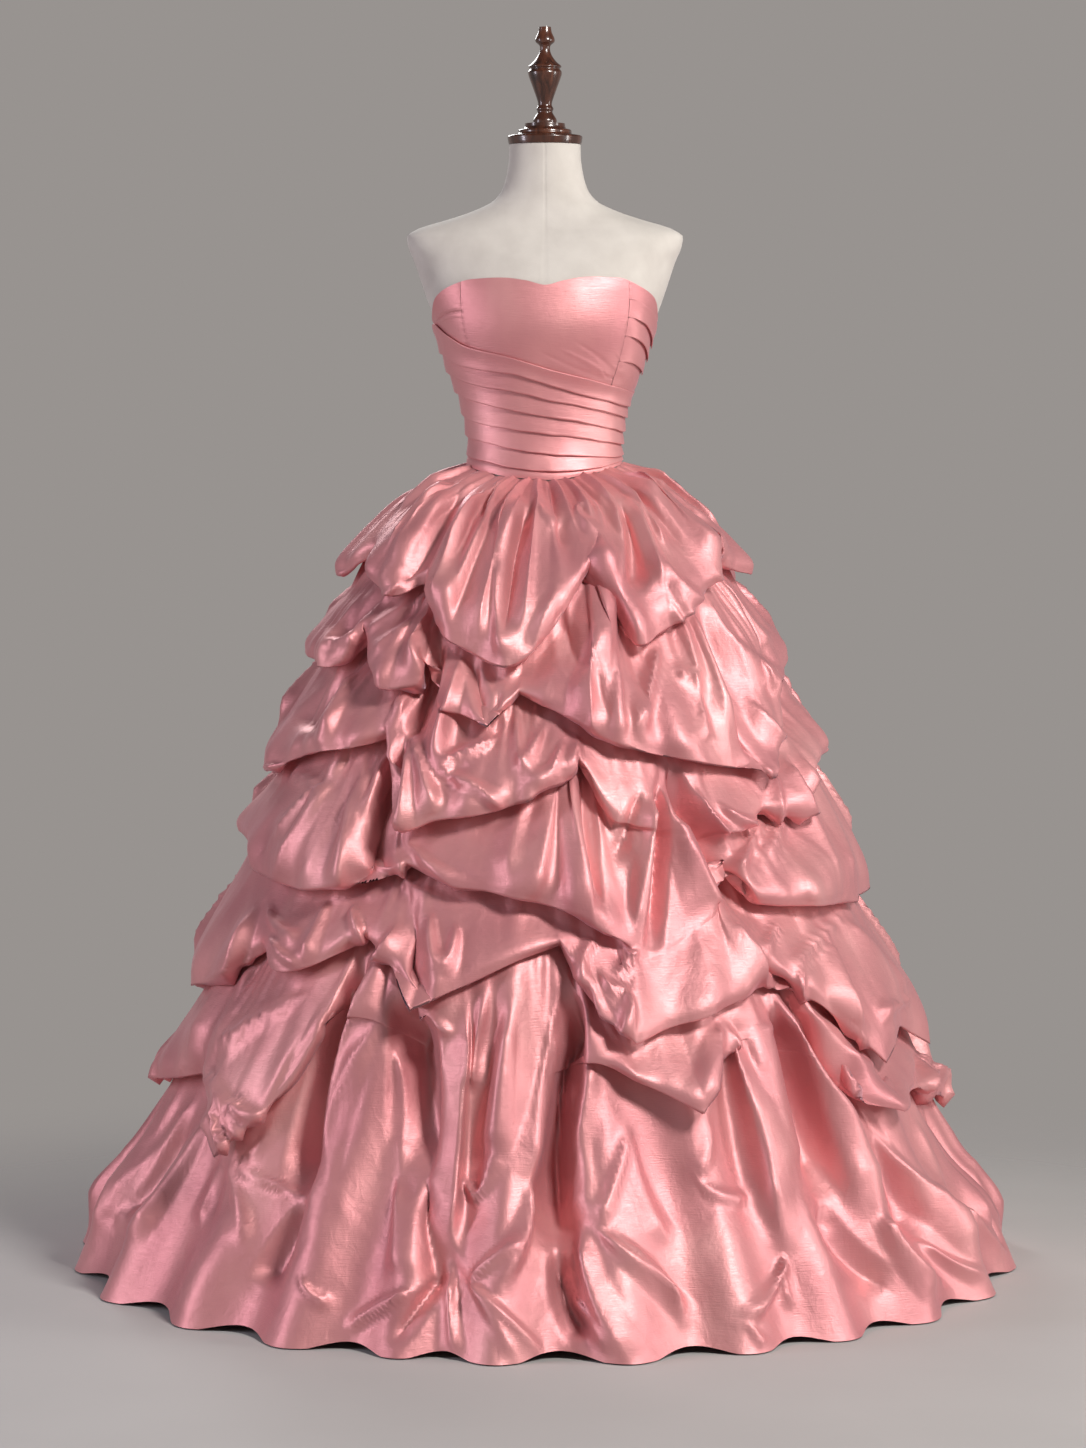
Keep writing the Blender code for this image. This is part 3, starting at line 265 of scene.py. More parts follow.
# Flutes that fall to the hem: top angle, hem angle, width, height
HEM_FLUTES = (
    (-176, -177, 7, 0.038), (-150, -155, 6.5, 0.035), (-134, -136, 6, 0.042),
    (-112, -116, 7, 0.038), (-94, -97, 6, 0.042), (-76, -80, 5.5, 0.038), (-58, -63, 5.5, 0.042),
    (-43, -46, 5, 0.038), (-27, -30.5, 5, 0.042), (-15, -17, 4, 0.035), (-5, -5.5, 4.5, 0.045),
    (8, 9.5, 5, 0.045), (22, 24, 4.5, 0.038), (33, 36.5, 4.5, 0.038), (46, 50, 5, 0.042),
    (60, 65, 5.5, 0.042), (76, 81, 6, 0.038), (95, 99, 6.5, 0.042), (116, 118, 7, 0.038),
    (136, 139, 6.5, 0.038), (157, 160, 6.5, 0.042),
)
FLUTE_TOP = 0.45
HEM_ROWS = (0.30, 0.66, 1.0)
HEM_LOW = 0.8 * MM
HEM_LIFT = 13.0 * MM
HEM_INSET = 0.026
FLUTE_DOWN = 0.032

# Depth of the body and the waist against their width, and where the skirt is round
BODY_DEPTH_RATIO = 0.80
WAIST_LEVEL = 1.10
FULL_DEPTH_HEIGHT = 0.98


def blend(start, end, share):
    return start + (end - start) * share


def smoothstep(value):
    value = min(1.0, max(0.0, value))
    return value * value * (3.0 - 2.0 * value)


def wrap(angle):
    """The same angle, from -180 up to 180."""
    return (angle + 180.0) % 360.0 - 180.0


def table_value(rows, key, column):
    """A column of a table of rows, straight between its rows and flat past its ends."""
    if key <= rows[0][0]:
        return rows[0][column]
    for low, high in zip(rows, rows[1:]):
        if key <= high[0]:
            share = (key - low[0]) / (high[0] - low[0])
            return blend(low[column], high[column], share)
    return rows[-1][column]


def limited_slope(before, here, after, column):
    """The slope of a smooth row, which is level at a crest or a hollow."""
    left = (here[column] - before[column]) / (here[0] - before[0])
    right = (after[column] - here[column]) / (after[0] - here[0])
    if left * right <= 0.0:
        return 0.0
    return 2.0 * left * right / (left + right)


def hermite(low, high, slope_low, slope_high, width, along):
    """The cubic between two values with given slopes, at a distance along it."""
    t = along / width
    share_high = (3.0 - 2.0 * t) * t * t
    bend = slope_low * t * (1.0 - t) ** 2 - slope_high * t * t * (1.0 - t)
    return blend(low, high, share_high) + width * bend


def smooth_value(rows, key, column):
    """A column of a table of rows, as a smooth curve that never overshoots its rows."""
    last = len(rows) - 1
    if key <= rows[0][0]:
        return rows[0][column]
    if key >= rows[last][0]:
        return rows[last][column]
    index = next(i for i in range(last) if key <= rows[i + 1][0])
    low = rows[index]
    high = rows[index + 1]
    width = high[0] - low[0]
    chord = (high[column] - low[column]) / width
    slope_low = limited_slope(rows[index - 1], low, high, column) if index else chord
    ends_here = index + 1 == last
    slope_high = chord if ends_here else limited_slope(low, high, rows[index + 2], column)
    return hermite(low[column], high[column], slope_low, slope_high, width, key - low[0])


def round_value(rows, angle, column, corner=None):
    """A column of a table that goes round the body, as a smooth curve of the angle.

    A row whose corner column is 1 keeps a point there.
    """
    count = len(rows)
    angle = wrap(angle)
    index = count - 1
    for number, row in enumerate(rows):
        if row[0] > angle:
            index = number - 1
            break
    around = []
    for step in (-1, 0, 1, 2):
        place = index + step
        turns, place = divmod(place, count)
        row = rows[place]
        around.append((row[0] + 360.0 * turns,) + tuple(row[1:]))
    before, low, high, after = around
    width = high[0] - low[0]
    if angle < low[0]:
        angle += 360.0
    chord = (high[column] - low[column]) / width
    slope_low = limited_slope(before, low, high, column)
    slope_high = limited_slope(low, high, after, column)
    if corner is not None and low[corner]:
        slope_low = CORNER_SLOPE * chord
    if corner is not None and high[corner]:
        slope_high = CORNER_SLOPE * chord
    return hermite(low[column], high[column], slope_low, slope_high, width, angle - low[0])


def body_angle(bearing):
    """The angle on a circle that the oval body carries to this bearing from the axis."""
    turn = math.radians(bearing)
    return math.degrees(math.atan2(math.sin(turn) * BODY_DEPTH_RATIO, math.cos(turn)))


def form_point(bearing, height, offset):
    """A point of the dress form's skin at a bearing and a height, moved out by offset."""
    turn = math.radians(bearing)
    sine = math.sin(turn)
    cosine = math.cos(turn)
    half = smooth_value(FORM_SECTIONS, height, 1)
    depth = smooth_value(FORM_SECTIONS, height, 2 if cosine > 0.0 else 3)
    power = smooth_value(FORM_SECTIONS, height, 4)
    radius = (abs(sine / half) ** power + abs(cosine / depth) ** power) ** (-1.0 / power)
    radius += offset
    return Vector((radius * sine, -radius * cosine, height))


def swag_edges(angle):
    """Height and tuck of each swag's lower edge, from the top down, at one angle."""
    edges = []
    ceiling = round_value(WAIST_SEAM, angle, 1) - 2.0 * LEAST_DROP
    for rows in SWAGS:
        height = min(round_value(rows, angle, 1, 3), ceiling)
        tuck = min(1.0, max(0.0, round_value(rows, angle, 2)))
        edges.append((height, tuck))
        ceiling = height - LEAST_DROP
    return edges


def reach(height):
    """Radius of the swags at a height."""
    return table_value(REACH, height, 1)


def bump(away, width):
    """A rounded ridge of height 1, at a distance from its line."""
    share = away / width
    return math.exp(-share * share) if abs(share) < 3.0 else 0.0


def catches(swag):
    """Angle and side of each catch of a swag's edge: 1 is caught up, -1 hangs to a point."""
    found = []
    rows = SWAGS[swag]
    for number, row in enumerate(rows):
        if row[3]:
            around = 0.5 * (rows[number - 1][1] + rows[(number + 1) % len(rows)][1])
            found.append((row[0], 1 if row[1] > around else -1))
    return found


def catch_shift(swag, angle):
    """How far the catches of a swag's edge move it in or out at one angle."""
    total = 0.0
    for middle, side in CATCHES[swag]:
        size = -CATCH_IN if side > 0 else POINT_OUT
        total += size * bump(wrap(angle - middle), CATCH_WIDTH)
    return total


def catch_folds(swag, angle, share):
    """Height of the folds that fan down over a swag from the catches above it."""
    if swag == 0:
        return 0.0
    total = 0.0
    for middle, side in CATCHES[swag - 1]:
        if side > 0:
            for top, bottom, height in CATCH_FOLDS:
                width = CATCH_FOLD_WIDTH * blend(0.45, 1.0, share)
                away = wrap(angle - middle - blend(top, bottom, share))
                total += height * bump(away, width) * blend(1.0, 0.55, share)
    return total


def fold_height(swag, angle, share):
    """How far the folds of a swag stand out, share of the way down it."""
    total = catch_folds(swag, angle, share)
    for number, top, bottom, width, height in SWAG_FOLDS:
        if number == swag:
            away = wrap(angle - blend(top, bottom, share))
            total += height * bump(away, width * blend(0.35, 1.0, share)) * blend(0.25, 1.0, share)
    return total


def flute_height(angle, height):
    """How far the flutes above the hem stand out at a height."""
    share = min(1.0, max(0.0, (FLUTE_TOP - height) / FLUTE_TOP))
    total = 0.0
    for top, bottom, width, size in HEM_FLUTES:
        away = wrap(angle - blend(top, bottom, share))
        total += size * bump(away, width * blend(0.6, 1.0, share))
    return total * blend(0.4, 1.0, share)


def gather_height(angle):
    """How far the uneven gathers of the waist seam stand out at one angle."""
    place = angle
    for turns, drift in GATHER_DRIFTS:
        place += drift * math.sin(math.radians(turns * angle + GATHER_PHASE * drift))
    wave = 0.5 - 0.5 * math.cos(math.radians(GATHER_COUNT * place))
    uneven = 1.0 + GATHER_UNEVEN * math.sin(math.radians(UNEVEN_TURNS * angle))
    return GATHER_HEIGHT * wave * uneven


def skirt_profile(angle):
    """Radius and height of each row of the skirt at one angle, from the waist to the hem."""
    seam = round_value(WAIST_SEAM, angle, 1) - SEAM_GAP
    gathers = [share * gather_height(angle) for share in GATHER_FADE]
    rows = [(reach(seam) + gathers[0], seam)]
    rows.append((reach(seam - SEAM_DROP) + gathers[1], seam - SEAM_DROP))
    leave_height = seam - GATHER_DROP
    leave_radius = reach(leave_height) + gathers[2]
    edges = swag_edges(angle)
    last_tuck = edges[-1][1]
    for swag, (height, tuck) in enumerate(edges):
        lowest = swag == len(edges) - 1
        free = 1.0 - last_tuck if lowest else 0.0
        leave_radius += fold_height(swag, angle, 0.0)
        leave_radius += free * flute_height(angle, leave_height) * 0.5
        rows.append((leave_radius, leave_height))
        belly_height = blend(height, leave_height, BELLY_PLACE)
        belly_radius = reach(belly_height) + SWAG_BELLY * tuck
        belly_radius += fold_height(swag, angle, 0.75) * blend(0.1, 1.0, tuck)
        belly_radius += 0.5 * catch_shift(swag, angle)
        belly_radius += free * (flute_height(angle, belly_height) - HEM_INSET)
        if swag == 0:
            belly_radius += gathers[3]
        rows.append((belly_radius, belly_height))
        edge_radius = reach(height) + 0.3 * SWAG_BELLY * tuck
        edge_radius += fold_height(swag, angle, 1.0) * tuck + catch_shift(swag, angle)
        edge_radius += free * (flute_height(angle, height) - HEM_INSET)
        rows.append((edge_radius, height))
        rise = blend(-LOOSE_DROP, TUCK_RISE, tuck)
        loose = max(0.0, 1.0 - 2.0 * tuck)
        widen = loose * (reach(height + rise) - reach(height))
        rows.append((edge_radius - TUCK_DEPTH * tuck + widen, height + rise))
        leave_height = height - blend(LOOSE_LEAVE, TUCKED_LEAVE, tuck)
        drawn_in = LEAVE_DEPTH * tuck + fold_height(swag, angle, 1.0) * tuck
        leave_radius = edge_radius - min(drawn_in, MOST_DRAWN_IN * TUCK_DEPTH * tuck)
        leave_radius += loose * (reach(leave_height) - reach(height))
    start_radius = leave_radius - last_tuck * HEM_START_IN
    for share in HEM_ROWS:
        valley = 1.0 - min(1.0, flute_height(angle, 0.0) / FLUTE_DOWN)
        low = HEM_LOW + HEM_LIFT * valley
        height = blend(leave_height, low, share)
        radius = reach(height) - HEM_INSET + flute_height(angle, height)
        rows.append((blend(start_radius, radius, smoothstep(share * 2.2)), height))
    return rows


def skirt_point(angle, radius, height):
    """A point of the skirt, oval at the waist and round lower down."""
    lower = smoothstep((WAIST_LEVEL - height) / (WAIST_LEVEL - FULL_DEPTH_HEIGHT))
    ratio = blend(BODY_DEPTH_RATIO, 1.0, lower)
    turn = math.radians(angle)
    return Vector((radius * math.sin(turn), -radius * ratio * math.cos(turn), height))


def skirt_column(angle):
    """Points down one column of the skirt, from its edge under the bodice's to the hem."""
    profile = skirt_profile(angle)
    turn = math.radians(angle)
    bearing = math.degrees(math.atan2(math.sin(turn), BODY_DEPTH_RATIO * math.cos(turn)))
    top = form_point(bearing, profile[0][1], FORM_CLEARANCE + CLOTH)
    return [top] + [skirt_point(angle, radius, height) for radius, height in profile[1:]]


def pleat_height(line, bearing):
    """Height of a fold line of the drape at one bearing."""
    rows = [(a, h) for a, h in zip(PLEAT_ANGLES, line)]
    return round_value(rows, body_angle(bearing), 1)


def drape_lines(bearing):
    """Heights of the drape's fold lines and of the waist seam under them."""
    heights = [pleat_height(line, bearing) for line in PLEAT_LINES]
    heights.append(round_value(WAIST_SEAM, body_angle(bearing), 1))
    return heights


def side_drape_lines(bearing):
    """Heights of the side drape's fold lines, ending under the main drape's top fold."""
    rows = zip(*((SIDE_PLEAT_ANGLES,) + SIDE_PLEAT_LINES))
    table = [tuple(row) for row in rows]
    columns = range(1, len(SIDE_PLEAT_LINES) + 1)
    heights = [table_value(table, body_angle(bearing), column) for column in columns]
    heights.append(pleat_height(PLEAT_LINES[0], bearing) - PANEL_LAP)
    return heights


# Finer form of the scene's own cloth
CURVE_PIECES = 6
END_FADE = 0.18
CREASE_REACH = 1.8
CRUMPLE = 0.45 * MM
PIXEL_SIZE = 1.31 * MM
CREASE_GAIN = 2.1
TROUGH_GAIN = 2.2
LENGTH_SHARE = 0.8
LENGTH_WIDER = 320.0
LENGTH_HIGHER = 500.0
CREASE_SPREAD = 2.0
CREASE_WIDEN = (0.5, 1.35)
CREASE_CREST = 0.06
CREASE_FOOT = 1.25
SWAG_ROWS = 4
EDGE_ROW = 4
TUCK_START = 0.15
EVEN_PASSES = 120
EDGE_ROUND = 0.4
SKIRT_COLUMNS = 720
ROW_STEPS = (4, 7) + 5 * (12, 8, 6, 3) + (12, 8, 6, 16) + (20, 20)
SHELL = 0.8 * MM
BODICE_SHELL = 0.6 * MM

# The photograph's camera: its place, what it looks at, its focal length and centre in pixels
PHOTO_WIDTH = 1086
PHOTO_HEIGHT = 1448
CAMERA_PLACE = Vector((0.0, -5.6, 1.22))
CAMERA_TARGET = Vector((0.0, 0.0, 0.747))
FOCAL_PIXELS = 4032
CENTRE_X = 545
CENTRE_Y = 724
SENSOR = 24

# Main creases of the skirt as the photograph shows them. Columns: pixels of the start,
# the middle and the end, height in mm (below 0 a trough), width in mm, lean to one side
CREASES = (
    (450, 484, 425, 512, 392, 562, 8, 9, 0.3), (460, 488, 428, 545, 402, 588, -7, 10, 0),
    (476, 497, 452, 555, 440, 612, 10, 9, 0.3), (489, 512, 466, 565, 444, 612, 6, 6, 0.2),
    (498, 485, 486, 500, 482, 520, -6, 6, 0), (520, 500, 500, 560, 478, 640, 10, 9, 0.3),
    (530, 505, 512, 565, 502, 645, -8, 12, 0), (540, 500, 529, 560, 516, 645, 9, 9, -0.3),
    (506, 560, 498, 610, 503, 655, 7, 7, -0.3), (556, 590, 538, 635, 516, 668, 5, 8, 0),
    (562, 615, 572, 650, 590, 668, -7, 12, 0), (603, 540, 604, 600, 598, 680, 12, 11, 0.3),
    (612, 500, 622, 540, 618, 590, 7, 8, 0.3), (622, 500, 634, 545, 638, 590, -9, 11, 0),
    (628, 496, 648, 545, 664, 590, 9, 9, 0.3), (628, 475, 676, 518, 722, 560, 9, 8, 0.3),
    (640, 475, 690, 510, 726, 556, 6, 6, 0.3), (660, 560, 684, 590, 702, 600, 6, 8, 0.2),
    (542, 508, 552, 520, 562, 512, 5, 6, 0), (585, 505, 578, 515, 598, 532, 6, 5, 0),
    (431, 600, 400, 612, 364, 640, 6, 6, 0.2), (420, 620, 395, 635, 374, 656, 5, 6, 0.2),
    (396, 586, 370, 617, 338, 668, 7, 6, 0.2), (390, 592, 362, 615, 330, 634, -7, 9, 0),
    (322, 640, 343, 641, 358, 636, 5, 5, 0), (338, 572, 350, 576, 362, 570, 5, 6, 0),
    (428, 612, 412, 675, 402, 732, 12, 9, 0.3), (442, 645, 424, 695, 407, 738, -14, 8, 0),
    (463, 655, 450, 705, 436, 765, 7, 8, 0.2), (470, 655, 482, 700, 496, 736, -8, 8, 0),
    (500, 690, 494, 715, 498, 734, -6, 6, 0), (497, 738, 466, 755, 434, 770, 8, 6, 0.2),
    (434, 771, 470, 786, 503, 808, 6, 6, -0.2), (452, 703, 440, 735, 433, 766, 6, 6, 0),
    (516, 705, 518, 745, 522, 772, 5, 6, 0), (545, 725, 532, 750, 522, 772, 6, 6, 0),
    (562, 742, 550, 770, 527, 780, 6, 6, 0), (578, 735, 560, 775, 505, 806, 5, 7, 0.2),
    (600, 645, 588, 695, 606, 738, 9, 11, 0.3), (614, 655, 617, 700, 619, 742, 5, 5, 0),
    (658, 645, 650, 690, 634, 738, 8, 8, 0.3), (672, 674, 690, 680, 698, 705, 6, 6, 0),
    (698, 700, 702, 725, 704, 742, 6, 7, 0), (675, 608, 690, 655, 697, 690, 8, 7, 0.3),
    (686, 606, 708, 660, 742, 732, 10, 8, 0.3), (700, 610, 735, 690, 760, 772, -10, 9, 0),
    (704, 592, 732, 645, 792, 688, 7, 7, 0.2), (717, 573, 745, 620, 768, 645, 7, 7, 0.2),
    (752, 702, 770, 726, 788, 748, 6, 6, 0.2), (762, 660, 764, 680, 792, 692, 5, 5, 0),
    (356, 672, 340, 700, 322, 735, 6, 6, 0.2), (342, 682, 320, 705, 300, 728, -8, 9, 0),
    (264, 767, 292, 772, 323, 790, 6, 5, 0), (320, 792, 300, 812, 279, 840, 7, 7, 0.2),
    (350, 750, 322, 800, 270, 892, 8, 8, 0.3), (352, 755, 336, 775, 325, 792, -9, 7, 0),
    (357, 790, 346, 840, 336, 890, 5, 5, 0), (364, 760, 356, 830, 334, 905, 6, 8, 0.2),
    (388, 755, 376, 790, 368, 818, 8, 6, 0.2), (402, 742, 386, 810, 367, 893, -16, 8, 0),
    (414, 732, 424, 775, 436, 814, 7, 8, 0.2), (408, 745, 404, 795, 396, 835, 7, 9, 0.2),
    (573, 765, 577, 835, 597, 930, 10, 8, 0.3), (584, 770, 590, 840, 602, 910, -9, 7, 0),
    (558, 775, 546, 840, 532, 898, 6, 10, 0.2), (532, 785, 516, 830, 508, 880, 5, 10, 0.2),
    (640, 790, 630, 822, 612, 862, -6, 7, 0), (655, 798, 650, 860, 641, 950, 11, 7, 0.3),
    (661, 765, 658, 850, 647, 950, -11, 6, 0), (664, 762, 696, 825, 748, 930, -17, 8, 0),
    (685, 810, 706, 870, 762, 975, 10, 13, 0.3), (695, 790, 712, 820, 730, 832, 8, 7, 0.2),
    (765, 822, 747, 848, 735, 878, 8, 6, 0), (735, 880, 740, 895, 752, 902, 5, 5, 0),
    (720, 805, 742, 820, 765, 822, 6, 5, 0), (768, 765, 777, 815, 768, 862, 8, 7, 0.2),
    (780, 757, 806, 815, 838, 897, 10, 9, 0.3), (790, 745, 830, 820, 851, 885, 6, 6, 0.2),
    (404, 840, 440, 872, 490, 902, 5, 6, 0), (432, 915, 431, 945, 438, 972, 8, 9, 0.2),
    (455, 925, 452, 950, 440, 975, 6, 7, 0), (419, 1010, 436, 1022, 452, 1036, 6, 5, 0),
    (597, 938, 582, 965, 592, 988, 8, 6, 0.2), (602, 973, 610, 988, 630, 988, 6, 5, 0),
    (628, 990, 630, 1015, 626, 1040, 9, 6, 0.2), (594, 990, 608, 1018, 622, 1038, 6, 5, 0),
    (636, 950, 626, 965, 617, 979, 7, 6, 0), (728, 930, 748, 955, 768, 980, 6, 7, 0.2),
    (386, 880, 372, 893, 366, 890, 5, 5, 0), (400, 860, 412, 885, 446, 897, 7, 6, 0.2),
    (330, 900, 318, 930, 303, 962, 7, 7, 0.2), (270, 905, 280, 928, 300, 938, 7, 6, 0.2),
    (270, 935, 282, 955, 302, 963, 5, 5, 0), (355, 905, 357, 925, 367, 943, 8, 6, 0.2),
    (256, 908, 226, 980, 188, 1060, 8, 8, 0.3), (251, 956, 240, 1000, 212, 1052, 6, 8, 0.2),
    (304, 1000, 262, 1018, 210, 1060, 6, 6, 0), (206, 1066, 230, 1105, 272, 1117, 7, 6, 0.2),
    (272, 1118, 300, 1060, 326, 1015, 6, 6, 0.2), (216, 1098, 221, 1140, 234, 1156, 8, 5, 0.2),
    (236, 1157, 258, 1148, 272, 1120, 7, 5, 0.2), (216, 1096, 234, 1130, 250, 1144, 5, 5, 0),
    (183, 1084, 150, 1150, 110, 1215, 6, 7, 0.2), (197, 1097, 166, 1152, 118, 1225, 8, 6, 0.3),
    (186, 1125, 160, 1172, 122, 1218, -9, 8, 0), (213, 1110, 175, 1180, 128, 1240, 8, 7, 0.3),
    (228, 1165, 240, 1200, 246, 1245, 6, 6, 0.2), (226, 1158, 214, 1190, 200, 1228, 6, 6, 0.2),
    (300, 1195, 268, 1182, 228, 1166, 5, 5, 0), (400, 926, 362, 1020, 318, 1150, 9, 7, 0.3),
    (366, 955, 326, 1070, 304, 1198, -18, 8, 0), (304, 1200, 284, 1240, 262, 1285, -12, 8, 0),
    (376, 1025, 340, 1120, 308, 1230, 7, 7, 0.2), (396, 1050, 404, 1100, 400, 1180, 8, 11, -0.3),
    (400, 1180, 400, 1230, 396, 1275, 6, 9, -0.3), (411, 910, 414, 1050, 424, 1180, -15, 11, 0),
    (424, 1180, 434, 1240, 446, 1290, -10, 11, 0), (418, 945, 417, 980, 418, 1006, 5, 5, 0),
    (468, 1000, 457, 1120, 449, 1256, 9, 7, 0.3), (449, 1258, 452, 1310, 458, 1360, 8, 7, 0.3),
    (486, 988, 478, 1050, 474, 1090, 9, 10, 0.2), (512, 1005, 504, 1090, 498, 1158, 8, 8, 0.2),
    (562, 1015, 552, 1095, 531, 1182, 11, 8, 0.3), (531, 1182, 527, 1225, 503, 1285, 8, 7, 0.3),
    (575, 988, 561, 1100, 558, 1250, -20, 10, 0), (558, 1250, 566, 1300, 586, 1338, -12, 10, 0),
    (570, 1060, 569, 1150, 580, 1225, 10, 9, -0.3),
    (580, 1225, 596, 1300, 628, 1362, 9, 9, -0.3), (588, 1068, 588, 1095, 574, 1160, 6, 8, 0),
    (628, 1125, 640, 1190, 668, 1245, 7, 10, 0.3), (626, 1130, 616, 1180, 600, 1228, 6, 6, 0.2),
    (600, 1230, 640, 1268, 690, 1312, 7, 6, 0.2), (615, 1235, 660, 1280, 684, 1330, 5, 5, 0),
    (570, 1295, 590, 1320, 610, 1355, 6, 6, 0.2), (722, 1022, 755, 1110, 787, 1256, 11, 9, 0.3),
    (716, 1022, 712, 1060, 704, 1110, 8, 9, 0.2), (704, 1112, 708, 1150, 696, 1176, 7, 7, 0.2),
    (696, 1178, 718, 1195, 746, 1200, 6, 6, 0), (787, 1258, 770, 1290, 748, 1322, 9, 6, 0.2),
    (786, 1262, 784, 1290, 792, 1304, 6, 6, 0), (748, 1322, 756, 1335, 764, 1346, 5, 5, 0),
    (766, 1002, 776, 1085, 806, 1195, 9, 10, 0.2), (768, 1006, 792, 1092, 822, 1200, -12, 10, 0),
    (822, 1200, 845, 1250, 888, 1290, -9, 10, 0), (773, 985, 830, 1100, 882, 1215, 11, 8, 0.3),
    (882, 1215, 905, 1255, 948, 1300, 9, 7, 0.3), (764, 960, 812, 1030, 862, 1110, -16, 8, 0),
    (862, 1110, 888, 1170, 918, 1240, -12, 8, 0), (856, 1110, 915, 1182, 1006, 1254, 10, 7, 0.3),
    (918, 1240, 950, 1262, 985, 1275, 6, 6, 0.2), (915, 1120, 930, 1160, 944, 1206, 6, 6, 0.2),
    (935, 1112, 966, 1172, 992, 1228, 6, 6, 0.2), (826, 936, 841, 985, 861, 1032, 9, 7, 0.3),
    (802, 965, 810, 1016, 859, 1037, 8, 7, 0.2), (786, 978, 824, 1034, 868, 1070, 10, 6, 0.2),
    (861, 1034, 866, 1055, 871, 1070, 6, 5, 0), (842, 918, 876, 956, 908, 1000, 7, 9, 0.2),
    (840, 915, 820, 938, 790, 968, 6, 5, 0), (908, 1002, 892, 1006, 880, 1018, 6, 6, 0),
    (780, 925, 770, 938, 764, 956, 6, 5, 0), (412, 1290, 384, 1308, 345, 1330, 8, 6, 0.2),
    (446, 1272, 424, 1302, 386, 1345, -9, 8, 0), (300, 1278, 312, 1296, 330, 1302, 6, 6, 0),
    (472, 1282, 500, 1312, 540, 1355, 7, 6, 0.2), (472, 1282, 494, 1322, 518, 1362, 5, 5, 0),
    (472, 1280, 492, 1262, 520, 1238, 6, 6, 0), (464, 1182, 472, 1192, 480, 1198, 6, 6, 0),
    (480, 1198, 490, 1178, 497, 1152, 6, 6, 0),
)

# Creases of the sides that the photograph doesn't show: how many fall from each catch,
# how far they fan out in degrees, their height and width in mm, and those above the hem
HIDDEN_FROM = 78.0
FAN_COUNT = 6
FAN_SPREAD = 15.0
FAN_HEIGHT = (6.0, 11.0)
FAN_WIDTH = (6.0, 10.0)
HEM_CREASES = 34
SEED = 11

# Gathers of the waist: their count, length in metres, height and width in mm
WAIST_GATHERS = 48
WAIST_LENGTH = (0.035, 0.115)
WAIST_HEIGHT = (3.0, 6.0)
WAIST_WIDTH = (3.2, 5.5)
WAIST_SEED = 5


# Colours: (position, colour) stops along each material's own noise
TAFFETA_TONES = (
    (0.30, (0.605, 0.240, 0.257, 1)),
    (0.55, (0.690, 0.298, 0.305, 1)),
    (0.75, (0.770, 0.366, 0.364, 1)),
)
LINEN_TONES = ((0.3, (0.520, 0.480, 0.440, 1)), (0.7, (0.600, 0.560, 0.515, 1)))
WOOD_TONES = (
    (0.30, (0.022, 0.007, 0.004, 1)),
    (0.55, (0.070, 0.022, 0.012, 1)),
    (0.78, (0.130, 0.045, 0.024, 1)),
)
ENAMEL_TONES = ((0.3, (0.018, 0.018, 0.020, 1)), (0.7, (0.035, 0.035, 0.038, 1)))
FLOOR_TONES = ((0.3, (0.43, 0.415, 0.405, 1)), (0.7, (0.48, 0.465, 0.455, 1)))


def make_material(name, roughness, metallic=0):
    """A new material, its node tree and its shader."""
    material = bpy.data.materials.new(name)
    material.use_nodes = True
    tree = material.node_tree
    shader = tree.nodes["Principled BSDF"]
    set_inputs(tree, shader, Roughness=roughness, Metallic=metallic)
    return material, tree, shader


def set_inputs(tree, node, **values):
    """Give a node's inputs a value each, or a link where that is another node's output."""
    for key, value in values.items():
        socket = node.inputs[key.replace("_", " ")]
        if isinstance(value, bpy.types.NodeSocket):
            tree.links.new(value, socket)
        else:
            socket.default_value = value


def add_node(tree, kind, output, **values):
    """One output of a new node, with its inputs set."""
    node = tree.nodes.new("ShaderNode" + kind)
    set_inputs(tree, node, **values)
    return node.outputs[output]


def placed(tree, scale):
    """Object coordinates, scaled along each axis."""
    place = add_node(tree, "TexCoord", "Object")
    return add_node(tree, "Mapping", "Vector", Vector=place, Scale=scale)


def ramp(tree, source, stops):
    """A colour ramp over a source value: (position, colour) stops."""
    colour = add_node(tree, "ValToRGB", "Color", Fac=source)
    elements = colour.node.color_ramp.elements
    elements[0].position, elements[0].color = stops[0]
    elements[1].position, elements[1].color = stops[-1]
    for position, tone in stops[1:-1]:
        elements.new(position).color = tone
    return colour


def noise_value(tree, scale, detail, distortion=0):
    """Noise as fine as the scale along each axis."""
    return add_node(tree, "TexNoise", "Fac", Vector=placed(tree, scale), Scale=1, Detail=detail,
                    Roughness=0.5, Distortion=distortion)


def mapped(tree, source, low, high):
    return add_node(tree, "MapRange", "Result", Value=source, To_Min=low, To_Max=high)


def bumps(tree, shader, layers):
    """Bump nodes in a row: (height source, strength, distance in metres) each."""
    normal = {}
    for source, strength, distance in layers:
        normal["Normal"] = add_node(tree, "Bump", "Normal", Height=source, Strength=strength,
                                    Distance=distance, **normal)
    set_inputs(tree, shader, **normal)


def wave_value(tree, scale, axis, distortion):
    """Fine parallel threads across one axis."""
    threads = add_node(tree, "TexWave", "Fac", Vector=placed(tree, (scale, scale, scale)),
                       Scale=1, Distortion=distortion, Detail=2)
    threads.node.bands_direction = axis
    return threads


